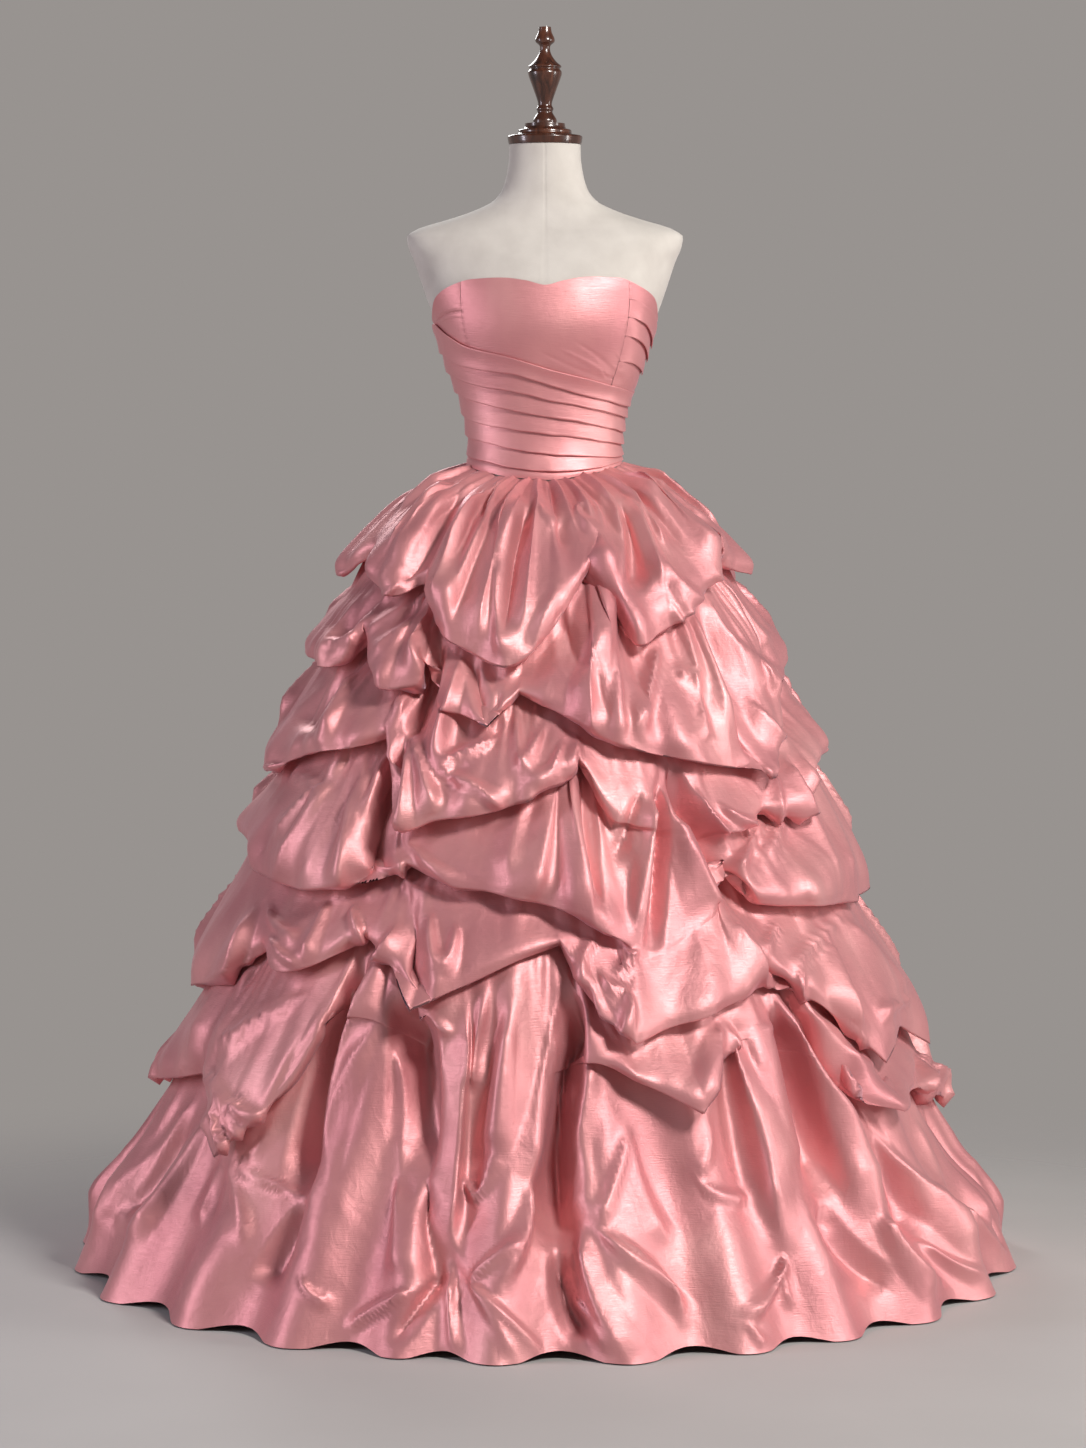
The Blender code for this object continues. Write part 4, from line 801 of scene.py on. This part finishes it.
def taffeta(name, crumple):
    """Rose silk taffeta: a crisp weave with slubs, soft sheen and fine crumples."""
    material, tree, shader = make_material(name, 0.46, 0.5)
    slubs = noise_value(tree, (70, 70, 900), 2)
    set_inputs(
        tree, shader, Base_Color=ramp(tree, noise_value(tree, (9, 9, 5), 3), TAFFETA_TONES),
        Roughness=mapped(tree, slubs, 0.36, 0.58), Specular_IOR_Level=0.35,
        Sheen_Weight=0.2, Sheen_Roughness=0.35, Sheen_Tint=(0.85, 0.62, 0.78, 1),
    )
    bumps(tree, shader, (
        (noise_value(tree, (60, 60, 34), 4, 0.6), crumple, 1.0 * MM),
        (slubs, 0.5, 0.5 * MM),
        (wave_value(tree, 420, "X", 1), 0.12, 0.2 * MM),
        (wave_value(tree, 520, "Z", 1.5), 0.12, 0.2 * MM),
    ))
    return material


def linen():
    """Cream linen, a plain weave with uneven threads."""
    material, tree, shader = make_material("cream_linen", 0.88)
    tone = noise_value(tree, (26, 26, 26), 4)
    set_inputs(tree, shader, Base_Color=ramp(tree, tone, LINEN_TONES), Sheen_Weight=0.2)
    bumps(tree, shader, (
        (wave_value(tree, 330, "X", 2), 0.25, 0.2 * MM),
        (wave_value(tree, 330, "Z", 2), 0.25, 0.2 * MM),
        (noise_value(tree, (500, 500, 500), 2), 0.4, 0.3 * MM),
    ))
    return material


def varnished_wood():
    """Dark turned wood under a clear varnish."""
    material, tree, shader = make_material("varnished_wood", 0.3)
    grain = noise_value(tree, (90, 90, 9), 6, 1.2)
    set_inputs(tree, shader, Base_Color=ramp(tree, grain, WOOD_TONES), Coat_Weight=0.7,
               Roughness=mapped(tree, grain, 0.36, 0.22), Coat_Roughness=0.1)
    bumps(tree, shader, ((grain, 0.25, 0.4 * MM),))
    return material


def black_metal():
    material, tree, shader = make_material("black_enamel", 0.42, 0.6)
    grain = noise_value(tree, (400, 400, 400), 3)
    set_inputs(tree, shader, Base_Color=ramp(tree, grain, ENAMEL_TONES),
               Roughness=mapped(tree, grain, 0.34, 0.52))
    bumps(tree, shader, ((grain, 0.2, 0.2 * MM),))
    return material


# Cloth meshes

def unit(vectors):
    length = np.linalg.norm(vectors, axis=-1, keepdims=True)
    return vectors / np.maximum(length, 1e-9)


def grid_normal(grid, closed=False):
    """Outward normals of a grid of points, rows from the top down, columns by angle."""
    down = np.gradient(grid, axis=0)
    if closed:
        across = 0.5 * (np.roll(grid, -1, axis=1) - np.roll(grid, 1, axis=1))
    else:
        across = np.gradient(grid, axis=1)
    return unit(np.cross(down, across))


def quads(rows, columns):
    """Faces of a grid of points, row by row."""
    a = (np.arange(rows - 1)[:, None] * columns + np.arange(columns - 1)[None, :]).ravel()
    return np.stack((a, a + columns, a + columns + 1, a + 1), axis=1)


def link_mesh(name, points, faces, material):
    """A new object with a mesh of its own."""
    mesh = bpy.data.meshes.new(name)
    mesh.from_pydata(points, [], faces)
    mesh.materials.append(material)
    item = bpy.data.objects.new(name, mesh)
    bpy.context.collection.objects.link(item)
    return item


def add_shell(name, grid, normals, thickness, material):
    """A closed thin shell of cloth whose outer side is the grid."""
    rows, columns = grid.shape[:2]
    count = rows * columns
    front = quads(rows, columns)
    rim = list(range(columns))
    rim += [i * columns + columns - 1 for i in range(1, rows)]
    rim += [(rows - 1) * columns + j for j in range(columns - 2, -1, -1)]
    rim += [i * columns for i in range(rows - 2, 0, -1)]
    rim = np.array(rim)
    following = np.roll(rim, -1)
    edge = np.stack((rim, following, following + count, rim + count), axis=1)
    flat = normals.reshape(-1, 3)
    points = np.concatenate((grid.reshape(-1, 3), (grid - normals * thickness).reshape(-1, 3)))
    faces = np.concatenate((front, front[:, ::-1] + count, edge))
    item = link_mesh(name, points.tolist(), faces.tolist(), material)
    item.data.validate()
    item.data.shade_smooth()
    item.data.normals_split_custom_set_from_vertices(np.concatenate((flat, -flat)).tolist())
    return item


def cloth_piece(name, grid, normals, thickness, material):
    """A sheet of the gown over its node, in place of it."""
    item = add_shell("cloth_" + name, grid, normals, thickness, material)
    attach(item, "root")
    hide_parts(name)


# Skirt

def along_rows(columns, tucks):
    """Points of every column on a curve through its rows, folded over at each tucked edge."""
    slopes = np.gradient(columns, axis=1)
    count = columns.shape[1]
    edges = [SWAG_ROWS * swag + EDGE_ROW for swag in range(len(SWAGS))]
    parts = []
    for i in range(count - 1):
        start, end = columns[:, i], columns[:, i + 1]
        chord = end - start
        fold = tucks[:, edges.index(i), None] if i in edges else 0.0
        leave = blend(slopes[:, i], chord, fold)
        fold = tucks[:, edges.index(i + 1), None] if i + 1 in edges else 0.0
        arrive = blend(slopes[:, i + 1], chord, fold)
        for step in range(ROW_STEPS[i]):
            t = step / ROW_STEPS[i]
            bend = t * (1.0 - t) * ((1.0 - t) * (leave - chord) - t * (arrive - chord))
            parts.append(start + chord * t + bend)
    parts.append(columns[:, -1])
    for edge in edges:
        k = sum(ROW_STEPS[:edge])
        around = parts[k - 1] + parts[k + 1]
        parts[k] = (1.0 - EDGE_ROUND) * parts[k] + 0.5 * EDGE_ROUND * around
    return np.stack(parts, axis=0)


def exposure(angles):
    """How far each fine row shows in each column, and how loosely it hangs there.

    It shows 1 on the cloth's face and 0 inside a tuck, and is loose where nothing is tucked.
    """
    table = []
    hang = []
    for angle in angles:
        values = [0.45, 1.0]
        loose = [0.0, 0.0]
        above = 0.5
        for _, tuck in swag_edges(angle):
            folded = smoothstep((tuck - TUCK_START) / (1.0 - TUCK_START))
            values += [blend(1.0, 0.5, above), 1.0, 1.0, 1.0 - folded]
            loose += [1.0 - max(above, folded)] + 3 * [1.0 - folded]
            above = folded
        table.append(values + [blend(1.0, 0.6, above), 1.0, 0.7])
        hang.append(loose + 3 * [1.0 - above])
    return fine_rows(table), fine_rows(hang)


def fine_rows(table):
    """Values of each column's rows, brought to its fine rows."""
    table = np.array(table).T
    parts = []
    for i, steps in enumerate(ROW_STEPS):
        for step in range(steps):
            parts.append(blend(table[i], table[i + 1], step / steps))
    parts.append(table[-1])
    return np.stack(parts, axis=0)


def evened(normals, loose):
    """Normals that change slowly down the columns where the cloth hangs loosely."""
    slow = normals.copy()
    for _ in range(EVEN_PASSES):
        slow[1:-1] = 0.25 * slow[:-2] + 0.5 * slow[1:-1] + 0.25 * slow[2:]
    return unit(blend(normals, slow, loose[..., None]))


def photo_pixels(points):
    """Where points fall in the photograph, and how far they are along the view."""
    ahead = np.array((CAMERA_TARGET - CAMERA_PLACE).normalized())
    right = np.array((1.0, 0.0, 0.0))
    up = np.cross(right, ahead)
    away = points - np.array(CAMERA_PLACE)
    depth = away @ ahead
    x = CENTRE_X + FOCAL_PIXELS * (away @ right) / depth
    y = CENTRE_Y - FOCAL_PIXELS * (away @ up) / depth
    return x, y, depth


def crease_shape(away, width, lean):
    """A ridge of two nearly flat facets with a narrow rounded crest, wider on one side."""
    width = np.where(away > 0.0, width * (1.0 + lean), width * (1.0 - lean))
    share = np.sqrt((away / width) ** 2 + CREASE_CREST ** 2) - CREASE_CREST
    return np.clip(1.0 - share, 0.0, 1.0) ** CREASE_FOOT


def curve_points(start, middle, end):
    """Points of a smooth curve from start to end through the middle."""
    pull = 2.0 * middle - 0.5 * (start + end)
    times = np.linspace(0.0, 1.0, CURVE_PIECES + 1)
    return [(1 - t) ** 2 * start + 2 * t * (1 - t) * pull + t * t * end for t in times]


def add_crease(total, x, y, points, height, width, lean):
    """Add the height of one curved crease at the places (x, y) near it."""
    spread = CREASE_REACH * width
    xs, ys = zip(*points)
    near = (x > min(xs) - spread) & (x < max(xs) + spread)
    near &= (y > min(ys) - spread) & (y < max(ys) + spread)
    x, y = x[near], y[near]
    curve = curve_points(*(np.array(p) for p in points))
    best = np.full(x.shape, 1e9)
    side = np.zeros_like(x)
    share = np.zeros_like(x)
    for k, (a, b) in enumerate(zip(curve, curve[1:])):
        d = b - a
        t = np.clip(((x - a[0]) * d[0] + (y - a[1]) * d[1]) / (d @ d), 0, 1)
        dx = x - (a[0] + d[0] * t)
        dy = y - (a[1] + d[1] * t)
        gap = np.hypot(dx, dy)
        closer = gap < best
        best = np.where(closer, gap, best)
        side = np.where(closer, np.sign(d[0] * dy - d[1] * dx), side)
        share = np.where(closer, (k + t) / CURVE_PIECES, share)
    ends = np.clip(share / END_FADE, 0, 1) * np.clip((1 - share) / END_FADE, 0, 1)
    width = width * blend(CREASE_WIDEN[0], CREASE_WIDEN[1], share)
    total[near] += height * (0.15 + 0.85 * ends) * crease_shape(best * side, width, lean)


def photo_creases(grid, normals):
    """Heights of the charted creases over the part of the skirt that the photograph shows."""
    x, y, depth = photo_pixels(grid)
    pixel = depth / FOCAL_PIXELS
    facing = np.clip((0.15 - normals[..., 1]) / 0.35, 0, 1)
    total = np.zeros(x.shape)
    for *ends, height, width, lean in CREASES:
        points = tuple(zip(ends[::2], ends[1::2]))
        length = math.dist(points[0], points[1]) + math.dist(points[1], points[2])
        size = CREASE_SPREAD * width * MM / PIXEL_SIZE * (LENGTH_SHARE + length / LENGTH_WIDER)
        gain = CREASE_GAIN if height > 0 else TROUGH_GAIN
        gain *= LENGTH_SHARE + length / LENGTH_HIGHER
        add_crease(total, x, y, points, gain * height * MM, size, lean)
    return total * facing * np.clip(pixel / PIXEL_SIZE, 0.8, 1.2)


def hidden_lines():
    """Creases of the hidden sides, as (angle, height) points, height, width and lean."""
    chance = random.Random(SEED)
    lines = []
    for swag in range(1, len(SWAGS)):
        for middle, _ in CATCHES[swag - 1]:
            if abs(middle) < HIDDEN_FROM:
                continue
            for k in range(FAN_COUNT):
                turn = FAN_SPREAD * (k / (FAN_COUNT - 1) - 0.5) * 2 + chance.uniform(-2, 2)
                top = swag_edges(middle)[swag - 1][0] - 12 * MM
                low = swag_edges(wrap(middle + turn))[swag][0]
                end = blend(top, low, chance.uniform(0.55, 0.98))
                start = (middle + 0.12 * turn, top)
                bend = (middle + turn * chance.uniform(0.45, 0.65), blend(top, end, 0.5))
                size = chance.uniform(*FAN_HEIGHT) * (1 if k % 2 else -0.8)
                lines.append(((start, bend, (middle + turn, end)), size * MM,
                              chance.uniform(*FAN_WIDTH) * MM, chance.uniform(-0.3, 0.3)))
    for k in range(HEM_CREASES):
        span = (360 - 2 * HIDDEN_FROM) * (k + chance.uniform(0.2, 0.8)) / HEM_CREASES
        angle = wrap(HIDDEN_FROM + span)
        turn = chance.uniform(-4, 4)
        top = chance.uniform(0.2, 0.34)
        points = ((angle, top), (angle + 0.5 * turn, 0.5 * top),
                  (angle + turn, chance.uniform(0.01, 0.05)))
        size = chance.uniform(*FAN_HEIGHT) * (1.1 if k % 2 else -1.2)
        lines.append((points, size * MM, chance.uniform(*FAN_WIDTH) * 1.3 * MM,
                      chance.uniform(-0.3, 0.3)))
    return lines


def waist_lines():
    """The short sharp gathers that fall from the waist seam all round."""
    chance = random.Random(WAIST_SEED)
    lines = []
    for k in range(WAIST_GATHERS):
        angle = wrap(360 * (k + chance.uniform(0, 0.75)) / WAIST_GATHERS)
        top = round_value(WAIST_SEAM, angle, 1) + 6 * MM
        low = top - chance.uniform(*WAIST_LENGTH)
        turn = chance.uniform(-4, 4)
        points = ((angle, top), (angle + 0.4 * turn, blend(top, low, 0.5)), (angle + turn, low))
        size = chance.uniform(*WAIST_HEIGHT) * (-0.8 if k % 3 == 0 else 1)
        lines.append((points, size * MM, chance.uniform(*WAIST_WIDTH) * MM,
                      chance.uniform(-0.3, 0.3)))
    return lines


def charted_lines(grid, lines):
    """Heights of creases that are charted by their angle and height."""
    angle = np.degrees(np.arctan2(grid[..., 0], -grid[..., 1]))
    height = grid[..., 2]
    radius = np.hypot(grid[..., 0], grid[..., 1])
    total = np.zeros(height.shape)
    for points, size, width, lean in lines:
        middle = points[1][0]
        across = np.radians(wrap(angle - middle)) * radius
        flat = [(math.radians(wrap(a - middle)) * reach(z), z) for a, z in points]
        add_crease(total, across, height, flat, CREASE_GAIN * size, CREASE_SPREAD * width, lean)
    return total


def crumples(grid):
    """Small uneven buckles of crisp cloth, longer up and down than across."""
    noise.seed_set(SEED)
    flat = grid.reshape(-1, 3)
    heights = np.empty(len(flat))
    for k, p in enumerate(flat.tolist()):
        place = Vector((p[0] * 13.0, p[1] * 13.0, p[2] * 7.0))
        bend = noise.noise_vector(place * 0.6) * 0.7
        heights[k] = noise.ridged_multi_fractal(place + bend, 1.0, 2.1, 3, 0.9, 1.6)
    heights = heights.reshape(grid.shape[:2])
    return (heights - heights.mean()) / heights.std()


def skirt_surface():
    """Points and normals of the whole skirt, with its creases."""
    angles = [-180.0 + 360.0 * j / SKIRT_COLUMNS for j in range(SKIRT_COLUMNS)]
    columns = np.array([[tuple(p) for p in skirt_column(a)] for a in angles])
    tucks = np.array([[min(1.0, 2.0 * tuck) for _, tuck in swag_edges(a)] for a in angles])
    grid = along_rows(columns, tucks)
    shown, loose = exposure(angles)
    normals = evened(grid_normal(grid, closed=True), loose)
    height = photo_creases(grid, normals) + charted_lines(grid, hidden_lines() + waist_lines())
    height += CRUMPLE * crumples(grid)
    grid = grid + normals * (height * shown)[..., None]
    grid[..., 2] = np.maximum(grid[..., 2], HEM_LOW + SHELL)
    return grid, grid_normal(grid, closed=True)


def build_skirt(material):
    grid, normals = skirt_surface()
    degree = SKIRT_COLUMNS / 360
    for name, start, end in GORES:
        first = round((start + 180) * degree)
        last = round((end + 180) * degree)
        picked = np.arange(first, last + 1) % SKIRT_COLUMNS
        cloth_piece(name, grid[:, picked], normals[:, picked], SHELL, material)


# Bodice

PANEL_FINE_ROWS = 64
PANEL_COLUMN = 1.2
PANEL_INSET = 0.05
DRAPE_COLUMN = 2.0
DRAPE_STEPS = 2
# Small tucks and soft creases of the bodice as the photograph shows them. Columns: pixels of
# the start, the middle and the end, height in mm (below 0 a trough), width in mm, lean
BODICE_CREASES = (
    (436, 322, 447, 314, 463, 312, -1.7, 1.4, 0), (436, 318, 447, 309, 463, 307, 0.8, 3, 0.4),
    (438, 325, 450, 317, 463, 317, 0.4, 2.5, -0.4), (562, 350, 588, 362, 612, 378, 0.7, 5, 0.3),
    (575, 342, 596, 355, 614, 372, -0.6, 5, 0), (540, 352, 575, 368, 606, 380, -0.5, 5, 0),
    (604, 370, 610, 378, 636, 378, -1.2, 1.6, 0), (612, 366, 622, 372, 636, 380, 0.7, 2.5, 0.3),
    (616, 352, 620, 360, 622, 368, 0.5, 2.5, 0),
)
BODICE_WAVE = 0.7 * MM
SEAM_FADE = 9.0


def bodice_creases(grid):
    """The grid with the bodice's charted creases raised along its normals."""
    normals = grid_normal(grid)
    x, y, _ = photo_pixels(grid)
    total = np.zeros(x.shape)
    for *ends, height, width, lean in BODICE_CREASES:
        points = tuple(zip(ends[::2], ends[1::2]))
        add_crease(total, x, y, points, height * MM, width * MM / PIXEL_SIZE, lean)
    return grid + normals * (total * (normals[..., 1] < 0))[..., None]


def add_bodice_panel(name, start, end, lines, material):
    count = round((end - start) / PANEL_COLUMN)
    bearings = np.linspace(start + PANEL_INSET, end - PANEL_INSET, count + 1)
    offset = FORM_CLEARANCE + CLOTH
    columns = []
    for a in bearings:
        top = round_value(NECKLINE, body_angle(a), 1)
        bottom = lines(a)[0] - PANEL_LAP
        seam = min(abs(wrap(a - start)), abs(wrap(end - a)))
        column = []
        for row in range(PANEL_FINE_ROWS):
            share = row / (PANEL_FINE_ROWS - 1)
            height = blend(top, bottom, share)
            place = Vector((a * 0.055, height * 16.0, 3.0))
            wave = noise.noise(place) * BODICE_WAVE
            pucker = 0.15 * MM * math.sin(height * 700.0) * math.exp(-seam / 1.5)
            sink = 0.5 * MM * math.exp(-(seam / 1.1) ** 2)
            edge = 0.5 * MM * math.exp(-((share * (top - bottom)) / 0.004) ** 2)
            column.append(tuple(form_point(a, height, offset + wave + pucker - sink + edge)))
        columns.append(column)
    grid = bodice_creases(np.array(columns).transpose(1, 0, 2))
    cloth_piece(name, grid, grid_normal(grid), BODICE_SHELL, material)


# Section of the drape's top fold and of each pleat down to its lower edge, which folds back
# up over the next. Columns: share of the way down, shift up in mm, stand-off in mm
PLEAT_TOP = ((0, -5, 1), (0, -1, 1.8), (0, 0.7, 2.6), (0, 0.5, 3.4), (0, -1.2, 3.7), (0.3, 0, 3))
PLEAT_START = (
    (0, 3.5, 1.3), (0, 1.5, 0.6), (0, -0.6, 0.3), (0.1, 0, 0.7), (0.2, 0, 1.1), (0.35, 0, 1.7),
)
PLEAT_FALL = (
    (0.6, 0, 2.9), (0.85, 0, 3.8), (1, 1.2, 4.3), (1, -0.2, 4.2), (1, -0.6, 3.6), (1, 0.2, 2.8),
    (1, 3, 2),
)
FULL_PLEAT = 16 * MM
PLEAT_WAVER = 0.9
LAST_PLEAT = ((0.6, 0, 2.2), (0.85, 0, 1.6), (1, 0, 1.2))


def pleat_column(bearing, heights, fade):
    """Points down one column of a drape, over all of its pleats."""
    base = FORM_CLEARANCE + CLOTH
    points = []
    count = len(heights) - 1
    for number, (top, bottom) in enumerate(zip(heights, heights[1:])):
        gap = top - bottom
        size = min(1.0, gap / FULL_PLEAT) * fade
        vary = 1.0 + 0.35 * noise.noise(Vector((bearing * 0.03, number * 3.7, 1.0)))
        rows = PLEAT_START if number else PLEAT_TOP
        rows += LAST_PLEAT if number == count - 1 else PLEAT_FALL
        for share, up, out in rows:
            line = number + (share > 0.5)
            inner = 0 < line < count
            waver = PLEAT_WAVER * noise.noise(Vector((bearing * 0.07, line * 5.3, 7.0))) * inner
            height = top - gap * share
            wave = 0.5 * MM * noise.noise(Vector((bearing * 0.09, height * 40.0, number)))
            offset = base + out * MM * vary * size + wave * share
            height += (up * size + waver) * MM
            points.append(tuple(form_point(bearing, height, offset)))
    return points


def add_drape(name, start, end, lines, material):
    count = round((end - start) / DRAPE_COLUMN)
    bearings = np.linspace(start + PANEL_INSET, end - PANEL_INSET, count + 1)
    flat = lines is side_drape_lines
    fades = [smoothstep((a - start) / SEAM_FADE) if flat else 1.0 for a in bearings]
    grid = np.array([pleat_column(a, lines(a), fade) for a, fade in zip(bearings, fades)])
    fine = bodice_creases(smooth_rows(grid, DRAPE_STEPS))
    cloth_piece(name, fine, grid_normal(fine), BODICE_SHELL, material)


def smooth_rows(columns, steps):
    """Points of every column on a smooth curve through its rows, each gap cut in steps."""
    first = 2.0 * columns[:, :1] - columns[:, 1:2]
    last = 2.0 * columns[:, -1:] - columns[:, -2:-1]
    ext = np.concatenate((first, columns, last), axis=1)
    parts = []
    for i in range(columns.shape[1] - 1):
        p0, p1, p2, p3 = (ext[:, i + k] for k in range(4))
        for step in range(steps):
            t = step / steps
            parts.append(0.5 * (
                2.0 * p1 + (p2 - p0) * t
                + (2.0 * p0 - 5.0 * p1 + 4.0 * p2 - p3) * t * t
                + (3.0 * p1 - p0 - 3.0 * p2 + p3) * t ** 3
            ))
    parts.append(columns[:, -1])
    return np.stack(parts, axis=0)


def build_bodice(material):
    princess = PRINCESS_ANGLE
    panels = (
        ("bodice_front", -princess, princess, drape_lines, (0.30, 0.16, 0.036)),
        ("bodice_side_front_right", princess, 90.0, side_drape_lines, (0.08, 0.06, 0.0025)),
        ("bodice_back_right", 90.0, 180.0, drape_lines, (0.21, 0.11, 0.012)),
        ("bodice_back_left", 180.0, 270.0, drape_lines, (0.20, 0.03, 0.0039)),
        ("bodice_side_front_left", 270.0, 360.0 - princess, drape_lines, (0.12, 0.11, 0.006)),
    )
    for name, start, end, lines, cut in panels:
        add_bodice_panel(name, start, end, lines, material)
    drapes = (
        ("bodice_drape_front", -90.0, 90.0, drape_lines, (0.42, 0.34, 0.085)),
        ("bodice_drape_back_right", 90.0, 180.0, drape_lines, (0.22, 0.30, 0.036)),
        ("bodice_drape_back_left", 180.0, 270.0, drape_lines, (0.22, 0.32, 0.043)),
        ("bodice_drape_side_right", princess, 90.0, side_drape_lines, (0.12, 0.20, 0.015)),
    )
    for name, start, end, lines, cut in drapes:
        add_drape(name, start, end, lines, material)


# Dress form


def ring_mesh(name, rings, node, material):
    """A closed stack of rings from the bottom up, in place of a node of the dress form."""
    count, sides = len(rings), len(rings[0])
    faces = []
    for i in range(0, (count - 1) * sides, sides):
        for j in range(sides):
            k = (j + 1) % sides
            faces.append((i + j, i + k, i + sides + k, i + sides + j))
    faces.append(tuple(range(sides - 1, -1, -1)))
    faces.append(tuple((count - 1) * sides + j for j in range(sides)))
    item = link_mesh(name, [point for ring in rings for point in ring], faces, material)
    item.data.shade_smooth()
    item.data.set_sharp_from_angle(angle=math.radians(SHARP_ANGLE))
    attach(item, "root")
    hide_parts(node)


def build_form(linen_material, wood):
    bottom = FORM_SECTIONS[0][0]
    top = FORM_SECTIONS[-1][0]
    count = round((top - bottom) / FORM_STEP)
    rings = []
    for i in range(count + 1):
        height = blend(bottom, top, i / count)
        ring = []
        for j in range(FORM_SIDES):
            bearing = 360 * j / FORM_SIDES
            away = abs(wrap(bearing)) * METRES_PER_DEGREE
            sink = -FRONT_SEAM_DEPTH * math.exp(-(away / FRONT_SEAM_WIDTH) ** 2)
            ring.append(tuple(form_point(bearing, height, sink)))
        rings.append(ring)
    ring_mesh("linen_form", rings, "form_torso", linen_material)
    add_turned("wooden_cap", "form_neck_cap", CAP_PROFILE, top, wood)
    add_turned("wooden_finial", "form_finial", FINIAL_PROFILE, top + CAP_PROFILE[-1][1], wood)


def add_turned(name, node, profile, foot, material):
    """A turned piece on a smooth curve through its profile's radii and heights."""
    rows = np.array([[(radius, rise, 0) for radius, rise in profile]])
    turns = [2 * math.pi * j / TURNED_SIDES for j in range(TURNED_SIDES)]
    rings = []
    for radius, rise, _ in smooth_rows(rows, 5)[:, 0]:
        rings.append([(radius * math.cos(t), radius * math.sin(t), foot + rise) for t in turns])
    ring_mesh(name, rings, node, material)


# Room

def add_light(name, place, size, energy, colour):
    data = bpy.data.lights.new(name, "AREA")
    data.shape = "RECTANGLE"
    data.size, data.size_y = size
    data.energy = energy
    data.color = colour
    item = bpy.data.objects.new(name, data)
    item.location = place
    item.rotation_euler = (LIGHT_AIM - Vector(place)).to_track_quat("-Z", "Y").to_euler()
    bpy.context.collection.objects.link(item)


# Lights: place, width and height, energy, colour; all are aimed at one place
LIGHT_AIM = Vector((0, 0, 0.8))
LIGHTS = (
    ("key", (2.2, -3.0, 3.4), (0.9, 0.9), 184.0, (1.0, 0.97, 0.94)),
    ("right_strip", (3.6, -1.0, 1.5), (0.45, 2.4), 50.0, (1.0, 0.97, 0.95)),
    ("left_strip", (-3.4, -1.2, 1.5), (0.50, 2.4), 49.0, (0.92, 0.87, 1.0)),
    ("back", (-1.2, 3.6, 3.0), (1.4, 1.4), 50.0, (1.0, 1.0, 1.0)),
)
# The room's brightness by the height looked at: low it is a pale wall, above it is dim
ROOM_SHADES = (
    (0.55, (0.314, 0.292, 0.279, 1.0)),
    (0.64, (0.19, 0.182, 0.178, 1.0)),
    (0.76, (0.06, 0.06, 0.06, 1.0)),
)
# The floor fades into the wall between these distances from a place before the gown
FLOOR_CENTRE = (0.0, -0.5, 0.0)
FLOOR_FADE = (0.75, 1.9)
FLOOR_HALF = 2.6
FLOOR_DROP = 0.4 * MM


def floor_material():
    """Pale paper that fades into the wall's grey away from the gown."""
    material, tree, shader = make_material("pale_floor", 0.8)
    tone = noise_value(tree, (1.5, 1.5, 1.5), 5)
    set_inputs(tree, shader, Base_Color=ramp(tree, tone, FLOOR_TONES))
    away = tree.nodes.new("ShaderNodeVectorMath")
    away.operation = "DISTANCE"
    away.inputs[1].default_value = FLOOR_CENTRE
    tree.links.new(add_node(tree, "TexCoord", "Object"), away.inputs[0])
    fade = add_node(tree, "MapRange", "Result", Value=away.outputs["Value"],
                    From_Min=FLOOR_FADE[0], From_Max=FLOOR_FADE[1])
    fade.node.interpolation_type = "SMOOTHSTEP"
    mix = add_node(tree, "MixShader", "Shader", Fac=fade)
    tree.links.new(shader.outputs["BSDF"], mix.node.inputs[1])
    tree.links.new(add_node(tree, "BsdfTransparent", "BSDF"), mix.node.inputs[2])
    set_inputs(tree, tree.nodes["Material Output"], Surface=mix)
    return material


def build_room():
    corners = [(x * FLOOR_HALF, y * FLOOR_HALF, -FLOOR_DROP)
               for x, y in ((-1, -1), (1, -1), (1, 1), (-1, 1))]
    link_mesh("floor", corners, [(0, 1, 2, 3)], floor_material())
    for light in LIGHTS:
        add_light(*light)
    world = bpy.data.worlds.new("studio")
    world.use_nodes = True
    tree = world.node_tree
    split = add_node(tree, "SeparateXYZ", "Z", Vector=add_node(tree, "TexCoord", "Generated"))
    height = add_node(tree, "MapRange", "Result", Value=split, From_Min=-1)
    set_inputs(tree, tree.nodes["Background"], Color=ramp(tree, height, ROOM_SHADES))
    bpy.context.scene.world = world
    bpy.context.scene.view_settings.view_transform = "Standard"


def build_camera():
    data = bpy.data.cameras.new("photo_camera")
    data.sensor_fit = "VERTICAL"
    data.sensor_height = SENSOR
    data.lens = SENSOR * FOCAL_PIXELS / PHOTO_HEIGHT
    data.shift_x = (0.5 * PHOTO_WIDTH - CENTRE_X) / PHOTO_HEIGHT
    camera = bpy.data.objects.new("photo_camera", data)
    camera.location = CAMERA_PLACE
    camera.rotation_euler = (CAMERA_TARGET - CAMERA_PLACE).to_track_quat("-Z", "Y").to_euler()
    bpy.context.collection.objects.link(camera)
    bpy.context.scene.camera = camera


def finish_stand(wood, metal):
    for name, material in (("form_base", wood), ("form_pole", metal)):
        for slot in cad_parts[name].material_slots:
            slot.material = material


def main():
    build_camera()
    build_room()
    wood = varnished_wood()
    satin = taffeta("rose_taffeta_smooth", 0.25)
    crisp = taffeta("rose_taffeta", 0.8)
    build_form(linen(), wood)
    finish_stand(wood, black_metal())
    build_bodice(satin)
    build_skirt(crisp)


CATCHES = [catches(swag) for swag in range(len(SWAGS))]
main()

bpy.context.view_layer.update()
